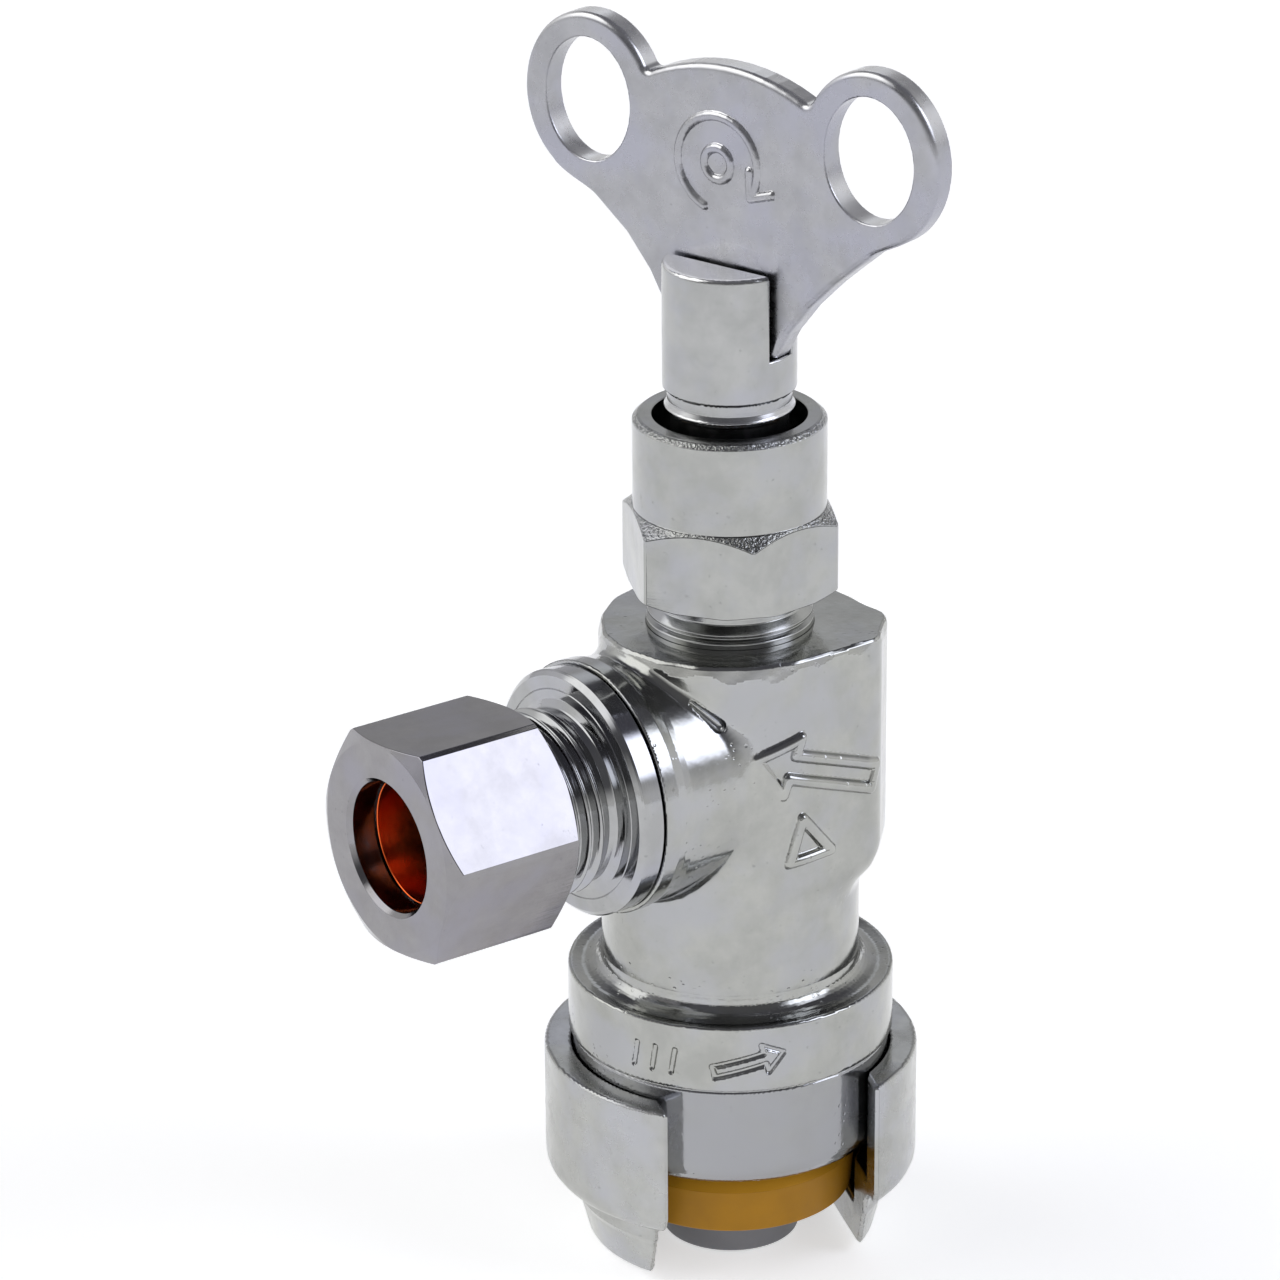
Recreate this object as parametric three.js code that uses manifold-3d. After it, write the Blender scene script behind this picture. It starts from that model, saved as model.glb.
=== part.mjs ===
// Angle stop valve: a push-fit inlet for 1/2 in tube at the bottom, a 3/8 in compression outlet
// at the front and a lockshield bonnet whose stem is turned with a loose butterfly key.
// Millimetres. +Z runs up the inlet and stem axis, and the outlet points along -Y.
// The origin is on the axis, in the plane of the body's lower end, the inlet mouth.

import * as THREE from 'three';
import { mergeVertices } from 'three/addons/utils/BufferGeometryUtils.js';
import Module from 'manifold-3d';

const wasm = await Module();
wasm.setup();

// ---- driving dimensions ----

const TUBE_R = 15.88 / 2; // 1/2 in supply tube that pushes into the inlet
const OUTLET_TUBE_R = 9.53 / 2; // 3/8 in tube that the outlet clamps
const OUTLET_Z = 31.6; // height of the outlet axis

// body
const SKIRT_R = 12.2; // cylinder that the release clip hugs
const SKIRT_ROUND = 1.9; // curled-in lower edge
const FLANGE_R = 12.5;
const FLANGE_Z = [8.5, 13.9];
const BARREL_R = 9.86;
const BLOCK_TOP = 42.0;
const BLOCK_HALF = 9.9; // half the width across the flat sides
const BLOCK_BACK = 10.2;
const BLOCK_CORNER = 3.6; // flat cut on the two back corners
const BOSS_R = 9.5;
const BOSS_LIP_R = 9.75; // raised band at the boss's mouth
const BOSS_END = 12.9; // distance from the stem axis
const CHAMBER_R = 6.4;
const CHAMBER_FLOOR = 24.6;
const SEAT_Z = 25.8;
const SEAT_R = [3.6, 4.6];
const PORT_R = 4.0;

// push-fit socket
const MOUTH_R = 9.0;
const CAVITY_R = 10.4;
const CAVITY_Z = [2.0, 12.6];
const SOCKET_R = TUBE_R + 0.11;
const TUBE_STOP = 18.2;

// outlet nipple, nut and ferrule, measured along the outlet axis from the stem axis
const DISC = { from: 13.0, to: 15.0, r: 9.47 };
const THREAD_R = 14.29 / 2;
const NIPPLE_NECK_R = 6.5;
const NIPPLE_END = 24.2;
const NUT = { back: 19.8, front: 31.0, acrossFlats: 15.88, turn: -25, boreR: 4.97 };
const FERRULE = { back: 24.8, front: 28.7 };

// bonnet, stem and key
const NECK_R = 6.2;
const HEX = { from: 44.9, to: 51.4, acrossFlats: 14.73, turn: 5.36 };
const SLEEVE_R = 7.26;
const SLEEVE_TOP = 58.5;
const SLEEVE_BORE_R = 5.78;
const STEM_SQUARE = 3.8;
const SHANK_R = 4.91;
const SHANK_TOP = 70.4;
const KEY_TURN = 16.5; // degrees from the outlet to the plate's normal
const SLOT = { floor: 63.8, front: 1.45, back: 1.05 }; // the slot is cut wide in front of the plate
const PLATE = { half: 1.0, shift: 0.6, ringX: 12.66, ringZ: 80.89, top: 85.0 };

// release parts
const COLLAR = { r: 9.72, bottomR: 9.35, bottom: -5.04, shoulder: -1.54, bore: 8.1 };
const CLIP = { r: 14.4, top: 7.2, step: -2.55, bottom: -8.66, bore: 12.5, slotHalf: 8.15, turn: 69.1 };
const LINER = { r: 5.3, bore: 4.6, bottom: -9.0, top: 17.0 };

const SEAL_GAP = 0.15; // clearance round a seal
const FINE = 40; // sides of a large round piece
const COARSE = 24; // sides of a small or hidden one

// ---- shaping ----

function toSolid(geometry) {
  const bare = geometry.clone();
  bare.deleteAttribute('normal');
  bare.deleteAttribute('uv');
  const merged = mergeVertices(bare, 1e-4);
  const index = merged.index.array;
  const triangles = [];
  let volume = 0;
  const p = new THREE.Vector3();
  const q = new THREE.Vector3();
  const r = new THREE.Vector3();
  for (let i = 0; i < index.length; i += 3) {
    const [a, b, c] = [index[i], index[i + 1], index[i + 2]];
    if (a === b || b === c || c === a) continue; // slivers at the axis
    triangles.push(a, b, c);
    p.fromBufferAttribute(merged.attributes.position, a);
    q.fromBufferAttribute(merged.attributes.position, b);
    r.fromBufferAttribute(merged.attributes.position, c);
    volume += p.dot(q.cross(r));
  }
  if (volume < 0) triangles.reverse(); // faces point out
  return new wasm.Manifold(new wasm.Mesh({
    numProp: 3,
    vertProperties: new Float32Array(merged.attributes.position.array),
    triVerts: new Uint32Array(triangles),
  }));
}

function toGeometry(solid) {
  const mesh = solid.getMesh();
  const geometry = new THREE.BufferGeometry();
  geometry.setAttribute('position', new THREE.BufferAttribute(mesh.vertProperties, 3));
  geometry.setIndex(new THREE.BufferAttribute(mesh.triVerts, 1));
  return geometry;
}

const join = (...pieces) => toGeometry(pieces.map(toSolid).reduce((a, b) => a.add(b)));
const cut = (piece, ...tools) => toGeometry(tools.map(toSolid).reduce((a, b) => a.subtract(b), toSolid(piece)));
const trim = (piece, limit) => toGeometry(toSolid(piece).intersect(toSolid(limit)));

// A solid of revolution about Z from a profile of [radius, height] points.
function turned(profile, sides = COARSE) {
  const points = profile.map(([radius, height]) => new THREE.Vector2(radius, height));
  const onAxis = profile[0][0] === 0 && profile[profile.length - 1][0] === 0;
  if (!onAxis) points.push(points[0].clone());
  return join(new THREE.LatheGeometry(points, sides).rotateX(Math.PI / 2));
}

// A plain ring or, with an inner radius of zero, a plain disc.
function ring(inner, outer, bottom, top, sides = COARSE) {
  return turned([[inner, bottom], [outer, bottom], [outer, top], [inner, top]], sides);
}

// Points of a quarter-round edge, swept from one angle to another in degrees.
function round(centreR, centreZ, radius, from, to, steps = 3) {
  const points = [];
  for (let i = 0; i <= steps; i += 1) {
    const angle = THREE.MathUtils.degToRad(from + ((to - from) * i) / steps);
    points.push([centreR + radius * Math.cos(angle), centreZ + radius * Math.sin(angle)]);
  }
  return points;
}

// A seal of round section.
function seal(centreR, centreZ, sectionR) {
  return turned(round(centreR, centreZ, sectionR, 0, 315, 7));
}

function block(width, depth, height, x, y, z) {
  return new THREE.BoxGeometry(width, depth, height).translate(x, y, z);
}

// A hexagonal bar with both ends chamfered at 30 degrees.
function hexBar(acrossFlats, from, to, turn, chamferTop, chamferBottom) {
  const cornerR = acrossFlats / Math.sqrt(3);
  const rise = Math.tan(Math.PI / 6);
  const bar = new THREE.CylinderGeometry(cornerR, cornerR, to - from, 6);
  bar.rotateX(Math.PI / 2).rotateZ(turn).translate(0, 0, (from + to) / 2);
  const limitR = cornerR + 1;
  const limit = turned([
    [0, from],
    [chamferBottom, from],
    [limitR, from + (limitR - chamferBottom) * rise],
    [limitR, to - (limitR - chamferTop) * rise],
    [chamferTop, to],
    [0, to],
  ], FINE);
  return trim(bar, limit);
}

// ---- materials ----

function finish(color, roughness, metalness) {
  return new THREE.MeshStandardMaterial({ color, roughness, metalness });
}

const chrome = () => finish(0xb9bab4, 0.22, 1.0);
const satinChrome = () => finish(0xaab1b3, 0.35, 1.0);
const rawBrass = () => finish(0xc08a4a, 0.3, 1.0);
const stainless = () => finish(0x9a9c9e, 0.3, 1.0);
const blackRubber = () => finish(0x1c1c1d, 0.8, 0.0);
const whitePlastic = () => finish(0xd9d6cd, 0.5, 0.0);
const ochrePlastic = () => finish(0x9a6a26, 0.45, 0.0);
const greyPlastic = () => finish(0x4d4d52, 0.5, 0.0);

// ---- the assembly ----

const valve = new THREE.Group();
const outlet = new THREE.Group(); // local +Z runs out of the outlet
outlet.position.z = OUTLET_Z;
outlet.rotation.x = Math.PI / 2;
const key = new THREE.Group(); // local X lies along the key plate
key.rotation.z = THREE.MathUtils.degToRad(KEY_TURN);
valve.add(outlet, key);

function add(parent, name, geometry, material) {
  const mesh = new THREE.Mesh(geometry, material);
  mesh.name = name;
  parent.add(mesh);
}

// ---- body ----

function bodyShell() {
  const barrel = turned([
    [0, 0],
    ...round(SKIRT_R - SKIRT_ROUND, SKIRT_ROUND, SKIRT_ROUND, -90, 0),
    [SKIRT_R, FLANGE_Z[0]],
    [FLANGE_R - 0.3, FLANGE_Z[0]],
    [FLANGE_R, FLANGE_Z[0] + 0.3],
    [FLANGE_R, FLANGE_Z[1] - 0.4],
    [FLANGE_R - 0.4, FLANGE_Z[1]],
    [BARREL_R + 1.2, FLANGE_Z[1]],
    [BARREL_R + 0.35, FLANGE_Z[1] + 0.35],
    [BARREL_R, FLANGE_Z[1] + 1.2],
    [BARREL_R, BLOCK_TOP - 2],
    [0, BLOCK_TOP - 2],
  ], FINE);
  const boss = turned([
    [0, 0],
    [BOSS_R, 0],
    [BOSS_R, BOSS_END - 2.4],
    [BOSS_LIP_R, BOSS_END - 1.2],
    [BOSS_LIP_R, BOSS_END - 0.2],
    [BOSS_LIP_R - 0.2, BOSS_END],
    [0, BOSS_END],
  ], FINE);
  boss.rotateX(Math.PI / 2).translate(0, 0, OUTLET_Z);
  return join(barrel, upperBlock(), boss);
}

// Round towards the outlet, flat at the sides and back, with a bevelled top and a tapered underside.
function upperBlock() {
  const bevel = 0.7;
  const side = BLOCK_HALF - bevel;
  const back = BLOCK_BACK - bevel;
  const corner = BLOCK_CORNER - bevel * 0.4;
  const outline = new THREE.Shape();
  outline.moveTo(side, 0);
  outline.lineTo(side, back - corner);
  outline.lineTo(side - corner, back);
  outline.lineTo(corner - side, back);
  outline.lineTo(-side, back - corner);
  outline.lineTo(-side, 0);
  outline.absarc(0, 0, side, Math.PI, 2 * Math.PI, false);
  const bottom = FLANGE_Z[1] + 4;
  const solid = new THREE.ExtrudeGeometry(outline, {
    depth: BLOCK_TOP - bottom - 2 * bevel,
    curveSegments: 24,
    bevelThickness: bevel,
    bevelSize: bevel,
    bevelSegments: 1,
  }).translate(0, 0, bottom + bevel);
  const taperStart = 21.7;
  const wide = 20;
  const limit = turned([
    [0, taperStart - 1],
    [BARREL_R - 1, taperStart - 1],
    [wide, taperStart - 1 + wide - BARREL_R + 1],
    [wide, BLOCK_TOP + 1],
    [0, BLOCK_TOP + 1],
  ], FINE);
  return trim(solid, limit);
}

// Everything hollow along the stem axis, from the inlet mouth to the bonnet's hole.
function bodyBore() {
  const step = 0.01;
  return turned([
    [0, -1],
    [MOUTH_R + 2, -1],
    [MOUTH_R, 1.0],
    [MOUTH_R, CAVITY_Z[0]],
    [CAVITY_R, CAVITY_Z[0] + step],
    [CAVITY_R, CAVITY_Z[1] - step],
    [SOCKET_R, CAVITY_Z[1]],
    [SOCKET_R, TUBE_STOP],
    [PORT_R, TUBE_STOP + step],
    [PORT_R, 22.5],
    [SEAT_R[0], 23.0],
    [SEAT_R[0], SEAT_Z],
    [SEAT_R[1], SEAT_Z + step],
    [SEAT_R[1], CHAMBER_FLOOR],
    [CHAMBER_R, CHAMBER_FLOOR + step],
    [CHAMBER_R, BLOCK_TOP + 1],
    [0, BLOCK_TOP + 1],
  ], FINE);
}

function outletBore() {
  const bore = turned([
    [0, 3],
    [PORT_R, 3],
    [PORT_R, 8.0],
    [6.8, 8.01],
    [6.8, BOSS_END + 1],
    [0, BOSS_END + 1],
  ], FINE);
  return bore.rotateX(Math.PI / 2).translate(0, 0, OUTLET_Z);
}

add(valve, 'valve_body', cut(bodyShell(), bodyBore(), outletBore()), chrome());

// ---- outlet ----

function nipple() {
  const grooveFrom = 9.6;
  const grooveTo = 11.1;
  return turned([
    [PORT_R, 8.3],
    [6.6, 8.3],
    [6.6, grooveFrom],
    [5.5, grooveFrom],
    [5.5, grooveTo],
    [6.6, grooveTo],
    [6.6, DISC.from],
    [DISC.r - 0.2, DISC.from],
    [DISC.r, DISC.from + 0.2],
    [DISC.r, DISC.to - 0.5],
    [DISC.r - 0.5, DISC.to],
    [NIPPLE_NECK_R, DISC.to],
    [NIPPLE_NECK_R, DISC.to + 0.9],
    [THREAD_R, DISC.to + 1.5],
    [THREAD_R, NIPPLE_END - 0.7],
    [THREAD_R - 0.7, NIPPLE_END],
    [OUTLET_TUBE_R + 1.2, NIPPLE_END],
    [OUTLET_TUBE_R + 0.15, NIPPLE_END - 2.0],
    [OUTLET_TUBE_R + 0.15, 17.0],
    [PORT_R, 16.5],
  ], FINE);
}

function compressionNut() {
  const faceR = NUT.acrossFlats / 2;
  const turn = THREE.MathUtils.degToRad(NUT.turn);
  const bar = hexBar(NUT.acrossFlats, NUT.back, NUT.front, turn, faceR, faceR);
  const hollow = turned([
    [0, NUT.back - 1],
    [THREAD_R + 0.9, NUT.back - 1],
    [THREAD_R + 0.2, NUT.back + 0.7],
    [THREAD_R + 0.2, 27.0],
    [NUT.boreR, 29.2],
    [NUT.boreR, NUT.front - 0.3],
    [NUT.boreR + 0.5, NUT.front + 0.2],
    [NUT.boreR + 0.5, NUT.front + 1],
    [0, NUT.front + 1],
  ], FINE);
  return cut(bar, hollow);
}

function ferrule() {
  const bore = OUTLET_TUBE_R + 0.05;
  return turned([
    [bore, FERRULE.back],
    [bore + 0.35, FERRULE.back],
    [6.3, FERRULE.back + 1.5],
    [6.3, FERRULE.front - 1.4],
    [bore + 0.35, FERRULE.front],
    [bore, FERRULE.front],
  ], COARSE);
}

add(outlet, 'outlet_nipple', nipple(), chrome());
add(outlet, 'nipple_o_ring', seal(6.12, 10.35, 0.5), blackRubber());
add(outlet, 'compression_nut', compressionNut(), chrome());
add(outlet, 'ferrule', ferrule(), rawBrass());

// ---- bonnet, with the stem and its seals ----

const BONNET_FOOT = 34.5;
const THREAD_BORE = { r: 4.05, top: 44.6 };
const JOURNAL_R = 2.6;
const PACKING_BOX = { r: 5.0, from: 46.2, to: 50.4 };
const CLIP_GROOVE = { r: 6.15, from: 50.9, to: 51.7 };

function bonnet() {
  const neck = turned([
    [0, BONNET_FOOT],
    [NECK_R - 0.5, BONNET_FOOT],
    [NECK_R, BONNET_FOOT + 0.5],
    [NECK_R, 37.0],
    [NECK_R - 1.0, 37.0],
    [NECK_R - 1.0, 38.6],
    [NECK_R, 38.6],
    [NECK_R, 42.9],
    [NECK_R - 0.3, 43.1],
    [NECK_R - 0.3, 43.6],
    [NECK_R, 43.8],
    [NECK_R, HEX.from + 1],
    [0, HEX.from + 1],
  ], FINE);
  const turn = THREE.MathUtils.degToRad(HEX.turn);
  const hex = hexBar(HEX.acrossFlats, HEX.from, HEX.to, turn, SLEEVE_R + 0.1, HEX.acrossFlats / 2 + 0.2);
  const sleeve = turned([
    [0, HEX.to - 1],
    [SLEEVE_R, HEX.to - 1],
    [SLEEVE_R, SLEEVE_TOP - 0.5],
    ...round(SLEEVE_R - 0.5, SLEEVE_TOP - 0.5, 0.5, 0, 90, 2),
    [0, SLEEVE_TOP],
  ], FINE);
  const hollow = turned([
    [0, BONNET_FOOT - 1],
    [THREAD_BORE.r, BONNET_FOOT - 1],
    [THREAD_BORE.r, THREAD_BORE.top],
    [JOURNAL_R + 0.15, THREAD_BORE.top + 0.01],
    [JOURNAL_R + 0.15, PACKING_BOX.from],
    [PACKING_BOX.r, PACKING_BOX.from + 0.01],
    [PACKING_BOX.r, PACKING_BOX.to],
    [SLEEVE_BORE_R, PACKING_BOX.to + 0.01],
    [SLEEVE_BORE_R, CLIP_GROOVE.from],
    [CLIP_GROOVE.r, CLIP_GROOVE.from + 0.01],
    [CLIP_GROOVE.r, CLIP_GROOVE.to],
    [SLEEVE_BORE_R, CLIP_GROOVE.to + 0.01],
    [SLEEVE_BORE_R, SLEEVE_TOP + 1],
    [0, SLEEVE_TOP + 1],
  ], FINE);
  return cut(join(neck, hex, sleeve), hollow);
}

function squareBar(width, from, to) {
  return block(width, width, to - from, 0, 0, (from + to) / 2);
}

function stem() {
  const shaft = turned([
    [0, 29.6],
    [3.3, 29.6],
    [3.3, 34.6],
    [THREAD_BORE.r - 0.1, 35.0],
    [THREAD_BORE.r - 0.1, 40.6],
    [JOURNAL_R, 41.0],
    [JOURNAL_R, 52.0],
    [0, 52.0],
  ]);
  const square = trim(squareBar(STEM_SQUARE, 51.5, 57.4), ring(0, 2.5, 51, 58));
  square.rotateZ(THREE.MathUtils.degToRad(KEY_TURN)); // in line with the key's socket
  const jumperHole = ring(0, 1.8, 28, 33.6);
  return cut(join(shaft, square), jumperHole);
}

// Two legs of a spring steel ring, open over a small gap, seated in the sleeve's groove.
function retainingRing() {
  const from = CLIP_GROOVE.from + 0.15;
  const to = CLIP_GROOVE.to - 0.1;
  const band = ring(4.7, 6.0, from, to);
  return cut(band, block(2.2, 4, 3, 0, 5.4, (from + to) / 2));
}

add(valve, 'lockshield_bonnet', bonnet(), chrome());
add(valve, 'bonnet_o_ring', seal(5.82, 37.8, 0.5), blackRubber());
add(valve, 'stem', stem(), rawBrass());
add(valve, 'stem_o_ring', seal(3.79, 47.4, 1.06), blackRubber());
add(valve, 'packing_washer', ring(2.9, PACKING_BOX.r - SEAL_GAP, 48.6, 49.4), whitePlastic());
add(valve, 'gland_ring', ring(2.8, PACKING_BOX.r - SEAL_GAP, 49.5, 50.8), rawBrass());
add(valve, 'retaining_ring', retainingRing(), stainless());

// ---- jumper: the plate that carries the seat washer ----

function jumper() {
  return turned([
    [0, 24.3],
    [1.2, 24.3],
    [1.2, 27.8],
    [4.7, 27.8],
    [4.7, 29.1],
    [1.5, 29.1],
    [1.5, 33.1],
    [0, 33.1],
  ]);
}

function washerNut() {
  return cut(hexBar(5.0, 24.6, 25.8, 0, 2.6, 2.6), ring(0, 1.35, 24, 27, 24));
}

add(valve, 'jumper', jumper(), rawBrass());
add(valve, 'seat_washer', ring(1.4, 4.8, 26.0, 27.6), blackRubber());
add(valve, 'washer_nut', washerNut(), rawBrass());

// ---- key ----

function keyShank() {
  const shank = turned([
    [0, 52.9],
    [4.4, 52.9],
    [4.4, 58.8],
    [SHANK_R - 0.05, 59.1],
    [SHANK_R - 0.05, 59.6],
    [SHANK_R - 0.5, 59.8],
    [SHANK_R - 0.5, 60.3],
    [SHANK_R, 60.5],
    [SHANK_R, SHANK_TOP - 0.6],
    [SHANK_R - 0.6, SHANK_TOP],
    [0, SHANK_TOP],
  ], FINE);
  const socket = squareBar(STEM_SQUARE + 0.3, 52, 58.0);
  const slotHeight = SHANK_TOP + 1 - SLOT.floor;
  const slotMiddle = (SLOT.back - SLOT.front) / 2;
  const slotWidth = SLOT.front + SLOT.back;
  const slot = block(2 * SHANK_R + 2, slotWidth, slotHeight, 0, slotMiddle, SLOT.floor + slotHeight / 2);
  return cut(shank, socket, slot);
}

// One flat stamping: a waist that fills the shank's slot, two wings and a finger ring at each end.
function keyPlate() {
  const waist = [[4.7, SLOT.floor + 0.05], [5.8, 66.0], [7.4, 68.2], [9.5, 70.4], [12.5, 72.9], [15.6, 75.2]];
  const shoulder = [[8.0, 83.5], [5.0, 84.5], [2.0, PLATE.top]];
  const edge = (side) => [
    ...waist.map(([x, z]) => new THREE.Vector2(side * x, z)),
    ...shoulder.map(([x, z]) => new THREE.Vector2(side * x + PLATE.shift, z)),
  ];
  const ringOuter = [5.75, 6.3];
  const ringHole = [4.0, 4.65];
  let solid = extruded(new THREE.Shape([...edge(1), ...edge(-1).reverse()]));
  for (const side of [-1, 1]) solid = join(solid, extruded(oval(side, ringOuter)));
  for (const side of [-1, 1]) solid = cut(solid, extruded(oval(side, ringHole), 2));
  return solid;
}

function oval(side, [halfWidth, halfHeight]) {
  const shape = new THREE.Shape();
  shape.absellipse(side * PLATE.ringX + PLATE.shift, PLATE.ringZ, halfWidth, halfHeight, 0, 2 * Math.PI, false);
  return shape;
}

// A flat shape drawn in X and Z, as thick as the plate or, for a tool, thicker.
function extruded(shape, thicker = 1) {
  const depth = 2 * PLATE.half * thicker;
  const sheet = new THREE.ExtrudeGeometry(shape, { depth, bevelEnabled: false, curveSegments: 16 });
  return sheet.translate(0, 0, -depth / 2).rotateX(Math.PI / 2);
}

add(key, 'key_shank', keyShank(), satinChrome());
add(key, 'key_plate', keyPlate(), satinChrome());

// ---- push-fit inlet ----

function releaseCollar() {
  return turned([
    [COLLAR.bore + 0.5, COLLAR.bottom],
    [COLLAR.bottomR - 0.2, COLLAR.bottom],
    [COLLAR.bottomR, COLLAR.bottom + 0.2],
    [COLLAR.r, COLLAR.shoulder],
    [COLLAR.r - 0.97, COLLAR.shoulder + 0.97],
    [COLLAR.r - 0.97, 5.3],
    [9.25, 5.5],
    [9.25, 5.9],
    [8.6, 6.2],
    [COLLAR.bore, 6.2],
    [COLLAR.bore, COLLAR.bottom + 0.5],
  ], FINE);
}

function cartridgeRing() {
  return turned([
    [MOUTH_R + 0.03, 2.3],
    [CAVITY_R - SEAL_GAP, 2.3],
    [CAVITY_R - SEAL_GAP, 7.6],
    [9.6, 7.6],
    [9.6, 5.1],
    [MOUTH_R + 0.03, 5.1],
  ], FINE);
}

// A thin steel ring whose inner edge is cut into teeth that lean up the socket.
function grabRing() {
  const teeth = 16;
  const thick = 0.35;
  let band = turned([
    [CAVITY_R - SEAL_GAP, 7.9],
    [CAVITY_R - SEAL_GAP, 7.9 + thick],
    [8.9, 7.9 + thick],
    [TUBE_R - 0.25, 8.9 + thick],
    [TUBE_R - 0.25, 8.9],
    [8.9, 7.9],
  ], FINE);
  for (let i = 0; i < teeth; i += 1) {
    const notch = block(1.6, 0.9, 4, 8.2, 0, 8.5).rotateZ((2 * Math.PI * i) / teeth);
    band = cut(band, notch);
  }
  return band;
}

function grabRingSupport() {
  return turned([
    [CAVITY_R - SEAL_GAP, 8.55],
    [CAVITY_R - SEAL_GAP, 10.0],
    [8.3, 10.0],
    [8.3, 9.75],
    [9.1, 8.55],
  ], FINE);
}

function pipeLiner() {
  return turned([
    [LINER.bore, LINER.bottom],
    [LINER.r - 0.3, LINER.bottom],
    [LINER.r, LINER.bottom + 0.3],
    [LINER.r, LINER.top],
    [SOCKET_R - 0.25, LINER.top],
    [SOCKET_R - 0.25, LINER.top + 0.9],
    [LINER.bore, LINER.top + 0.9],
  ], FINE);
}

// A cup that hugs the body's skirt above and reaches under the collar below, slotted for the tube.
function releaseClip() {
  const cup = turned([
    [7.5, CLIP.bottom],
    [11.2, CLIP.bottom],
    [11.5, CLIP.step - 2.6],
    [12.1, CLIP.step - 1.2],
    [13.0, CLIP.step - 0.6],
    [CLIP.r - 0.4, CLIP.step - 0.3],
    [CLIP.r, CLIP.step],
    [CLIP.r, CLIP.top - 0.4],
    [CLIP.r - 0.4, CLIP.top],
    [CLIP.bore + 0.2, CLIP.top],
    [CLIP.bore, CLIP.top - 0.2],
    [CLIP.bore, -1.9],
    [10.1, -1.9],
    [10.1, COLLAR.bottom - 0.25],
    [7.5, COLLAR.bottom - 0.25],
  ], FINE);
  const height = 30;
  const reach = 20;
  const hole = ring(0, CLIP.slotHalf, CLIP.bottom - 1, CLIP.top + 1, FINE);
  const slot = block(2 * CLIP.slotHalf, reach, height, 0, -reach / 2, 0);
  return cut(cup, hole, slot).rotateZ(THREE.MathUtils.degToRad(CLIP.turn));
}

add(valve, 'release_collar', releaseCollar(), ochrePlastic());
add(valve, 'cartridge_ring', cartridgeRing(), whitePlastic());
add(valve, 'grab_ring', grabRing(), stainless());
add(valve, 'grab_ring_support', grabRingSupport(), whitePlastic());
add(valve, 'inlet_o_ring', seal(9.17, 11.3, 1.05), blackRubber());
add(valve, 'pipe_liner', pipeLiner(), greyPlastic());
add(valve, 'release_clip', releaseClip(), chrome());

const group = valve;
export default group;
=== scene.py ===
import math

import bpy
import numpy as np
from mathutils import Matrix, Vector


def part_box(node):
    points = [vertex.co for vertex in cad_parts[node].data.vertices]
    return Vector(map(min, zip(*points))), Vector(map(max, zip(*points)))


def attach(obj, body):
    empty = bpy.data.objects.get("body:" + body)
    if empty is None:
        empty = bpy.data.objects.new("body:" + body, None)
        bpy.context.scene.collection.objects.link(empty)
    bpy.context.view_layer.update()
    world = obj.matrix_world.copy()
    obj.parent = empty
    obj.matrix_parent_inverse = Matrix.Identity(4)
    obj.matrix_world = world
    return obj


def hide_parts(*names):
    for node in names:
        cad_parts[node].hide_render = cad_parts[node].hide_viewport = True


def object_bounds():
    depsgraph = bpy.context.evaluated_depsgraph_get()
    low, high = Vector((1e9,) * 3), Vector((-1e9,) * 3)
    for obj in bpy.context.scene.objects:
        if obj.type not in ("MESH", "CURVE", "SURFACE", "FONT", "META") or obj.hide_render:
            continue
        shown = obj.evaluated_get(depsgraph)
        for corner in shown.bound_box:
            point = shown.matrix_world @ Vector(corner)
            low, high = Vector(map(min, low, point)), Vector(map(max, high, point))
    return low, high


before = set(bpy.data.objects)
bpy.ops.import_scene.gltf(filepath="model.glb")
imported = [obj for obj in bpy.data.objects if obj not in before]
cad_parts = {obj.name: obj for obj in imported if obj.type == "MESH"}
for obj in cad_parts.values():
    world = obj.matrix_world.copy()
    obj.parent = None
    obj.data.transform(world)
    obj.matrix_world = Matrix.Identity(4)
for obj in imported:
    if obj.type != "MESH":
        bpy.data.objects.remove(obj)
cad_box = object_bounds()

# Lengths are millimetres until a mesh is written. Round pieces are drawn about a local +Z axis: the stem
# axis as it stands, or the outlet axis, which runs along -Y at the height of the outlet tube.

MM = 0.001


def span(node):
    """Lowest and highest corner of a CAD node in millimetres."""
    low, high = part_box(node)
    return np.array(low) / MM, np.array(high) / MM


def heights(node):
    low, high = span(node)
    return low[2], high[2]


BODY_LOW, BODY_HIGH = span("valve_body")
NUT_LOW, NUT_HIGH = span("compression_nut")
NIPPLE_LOW, NIPPLE_HIGH = span("outlet_nipple")
PLATE_LOW, PLATE_HIGH = span("key_plate")
COLLAR_LOW, COLLAR_HIGH = span("release_collar")

OUTLET_Z = (NIPPLE_LOW[2] + NIPPLE_HIGH[2]) / 2
FLANGE_R = BODY_HIGH[0]
BLOCK_TOP = BODY_HIGH[2]
BOSS_END = -BODY_LOW[1]
TUBE_R = 15.88 / 2
OUTLET_TUBE_R = 9.53 / 2
OUTLET_PITCH = 25.4 / 24

UPRIGHT = Matrix.Identity(4)
OUTLET = Matrix.Translation((0, 0, OUTLET_Z)) @ Matrix.Rotation(math.radians(90), 4, "X")
KEY_TURN = math.radians(16.5)
KEY = Matrix.Rotation(KEY_TURN, 4, "Z")
CLIP = Matrix.Rotation(math.radians(69.1), 4, "Z")


# ---- writing meshes ----


def add_object(name, data):
    found = bpy.data.objects.new(name, data)
    bpy.context.scene.collection.objects.link(found)
    return found


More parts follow.
